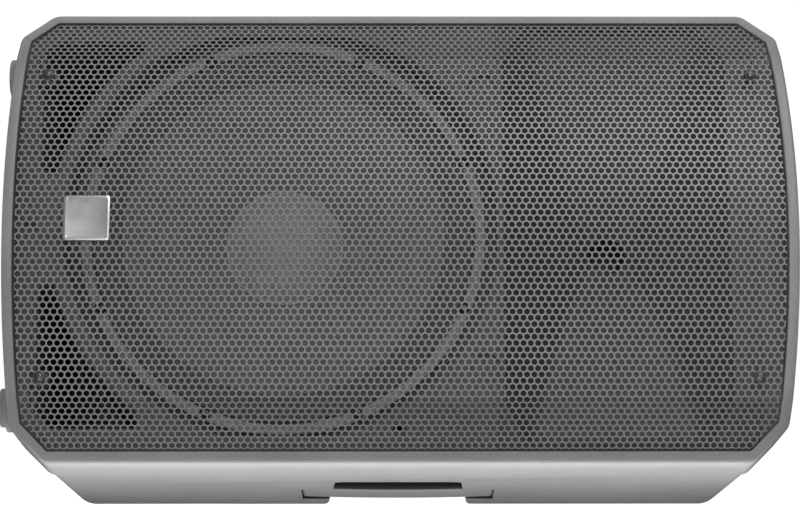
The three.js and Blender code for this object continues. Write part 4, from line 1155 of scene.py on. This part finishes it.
# ---- studio ---------------------------------------------------------------------------------
def lamp(name, place, target, size, power, tall=None):
    data = bpy.data.lights.new(name, "AREA")
    data.shape = "RECTANGLE"
    data.size = size
    data.size_y = tall or size
    data.energy = power
    made = bpy.data.objects.new(name, data)
    made.location = place
    made.rotation_mode = "QUATERNION"
    made.rotation_quaternion = (Vector(target) - Vector(place)).to_track_quat("-Z", "Y")
    made.visible_camera = False
    bpy.context.scene.collection.objects.link(made)
    return made


centre = Vector((0, 0, MID_Z * MM))
lamp("front soft box", (-1.9, -2.9, 1.2), centre, 1.6, 62, 2.0)
lamp("front fill", (0.9, -3.4, 0.5), centre, 1.4, 20)
for name, place in (("right rim", (2.0, 2.9, 0.8)), ("left rim", (-2.0, 2.9, 0.8))):
    rim = lamp(name, place, centre, 1.7, 4, 2.6)
    rim.visible_diffuse = False
for side, power in ((-1, 0.8), (1, 3.4)):
    card = lamp("side card", (side * 0.3, -0.01, centre.z), (0, -0.01, centre.z), 0.28, power, 0.8)
    card.rotation_quaternion = Matrix(((0, 0, side), (side, 0, 0), (0, 1, 0))).to_quaternion()
    card.visible_diffuse = False
back = lamp("back soft box", (0.3, 3.4, 1.6), centre, 1.8, 24)
back.visible_glossy = False
lamp("top soft box", (0, 0.3, 3.2), centre, 2.5, 30)

# The world is white behind the object. As a light it is dim, and dimmest behind the cabinet.
world = bpy.data.worlds.new("studio")
bpy.context.scene.world = world
world.use_nodes = True
sky = world.node_tree
way = add(sky, "TexCoord").outputs["Generated"]
backwards = add(sky, "SeparateXYZ", vector=way).outputs["Y"]
dim = feed(sky, sky.nodes["Background"], color=(1, 1, 1, 1),
           strength=spread(sky, backwards, 0.3, 0.02, 0.45, 0.95))
white = add(sky, "Background", color=(1, 1, 1, 1), strength=1.05)
mix = add(sky, "MixShader", fac=add(sky, "LightPath").outputs["Is Camera Ray"])
sky.links.new(dim.outputs[0], mix.inputs[1])
sky.links.new(white.outputs[0], mix.inputs[2])
sky.links.new(mix.outputs[0], sky.nodes["World Output"].inputs["Surface"])

FLOOR = surface("studio floor", (0.9, 0.9, 0.9), 0.02, (0.8, 0.9), grain=40, relief=0.02)
FLOOR_REACH = 9000
floor_corners = [(x, y, 0) for x, y in ((-1, -1), (1, -1), (1, 1), (-1, 1))]
floor = solid([(x * FLOOR_REACH, y * FLOOR_REACH, z) for x, y, z in floor_corners], [(0, 1, 2, 3)])
floor.name = "floor"
floor.data.materials.append(FLOOR)
feed(FLOOR.node_tree, FLOOR.node_tree.nodes["Principled BSDF"], emission_color=(1, 1, 1, 1),
     emission_strength=0.88)
floor.visible_glossy = False
if floor.data.polygons[0].normal.z < 0:
    floor.data.flip_normals()

camera_data = bpy.data.cameras.new("camera")
camera = bpy.data.objects.new("camera", camera_data)
bpy.context.scene.collection.objects.link(camera)
bpy.context.scene.camera = camera
camera_data.lens = 121.75
camera_data.sensor_width = 36
camera_data.clip_start = 0.1
camera_data.clip_end = 100
camera.location = (0.6260, -2.6154, 0.3570)
ahead = Vector((-0.2352, 0.9720, 0.0074)).normalized()
right = (Vector((0, 0, 1)) - ahead * ahead.z).normalized()
up = (-ahead).cross(right)
camera.matrix_world = Matrix.Translation(camera.location) @ Matrix((right, up, -ahead)).transposed().to_4x4()
bpy.context.scene.view_settings.view_transform = "Standard"
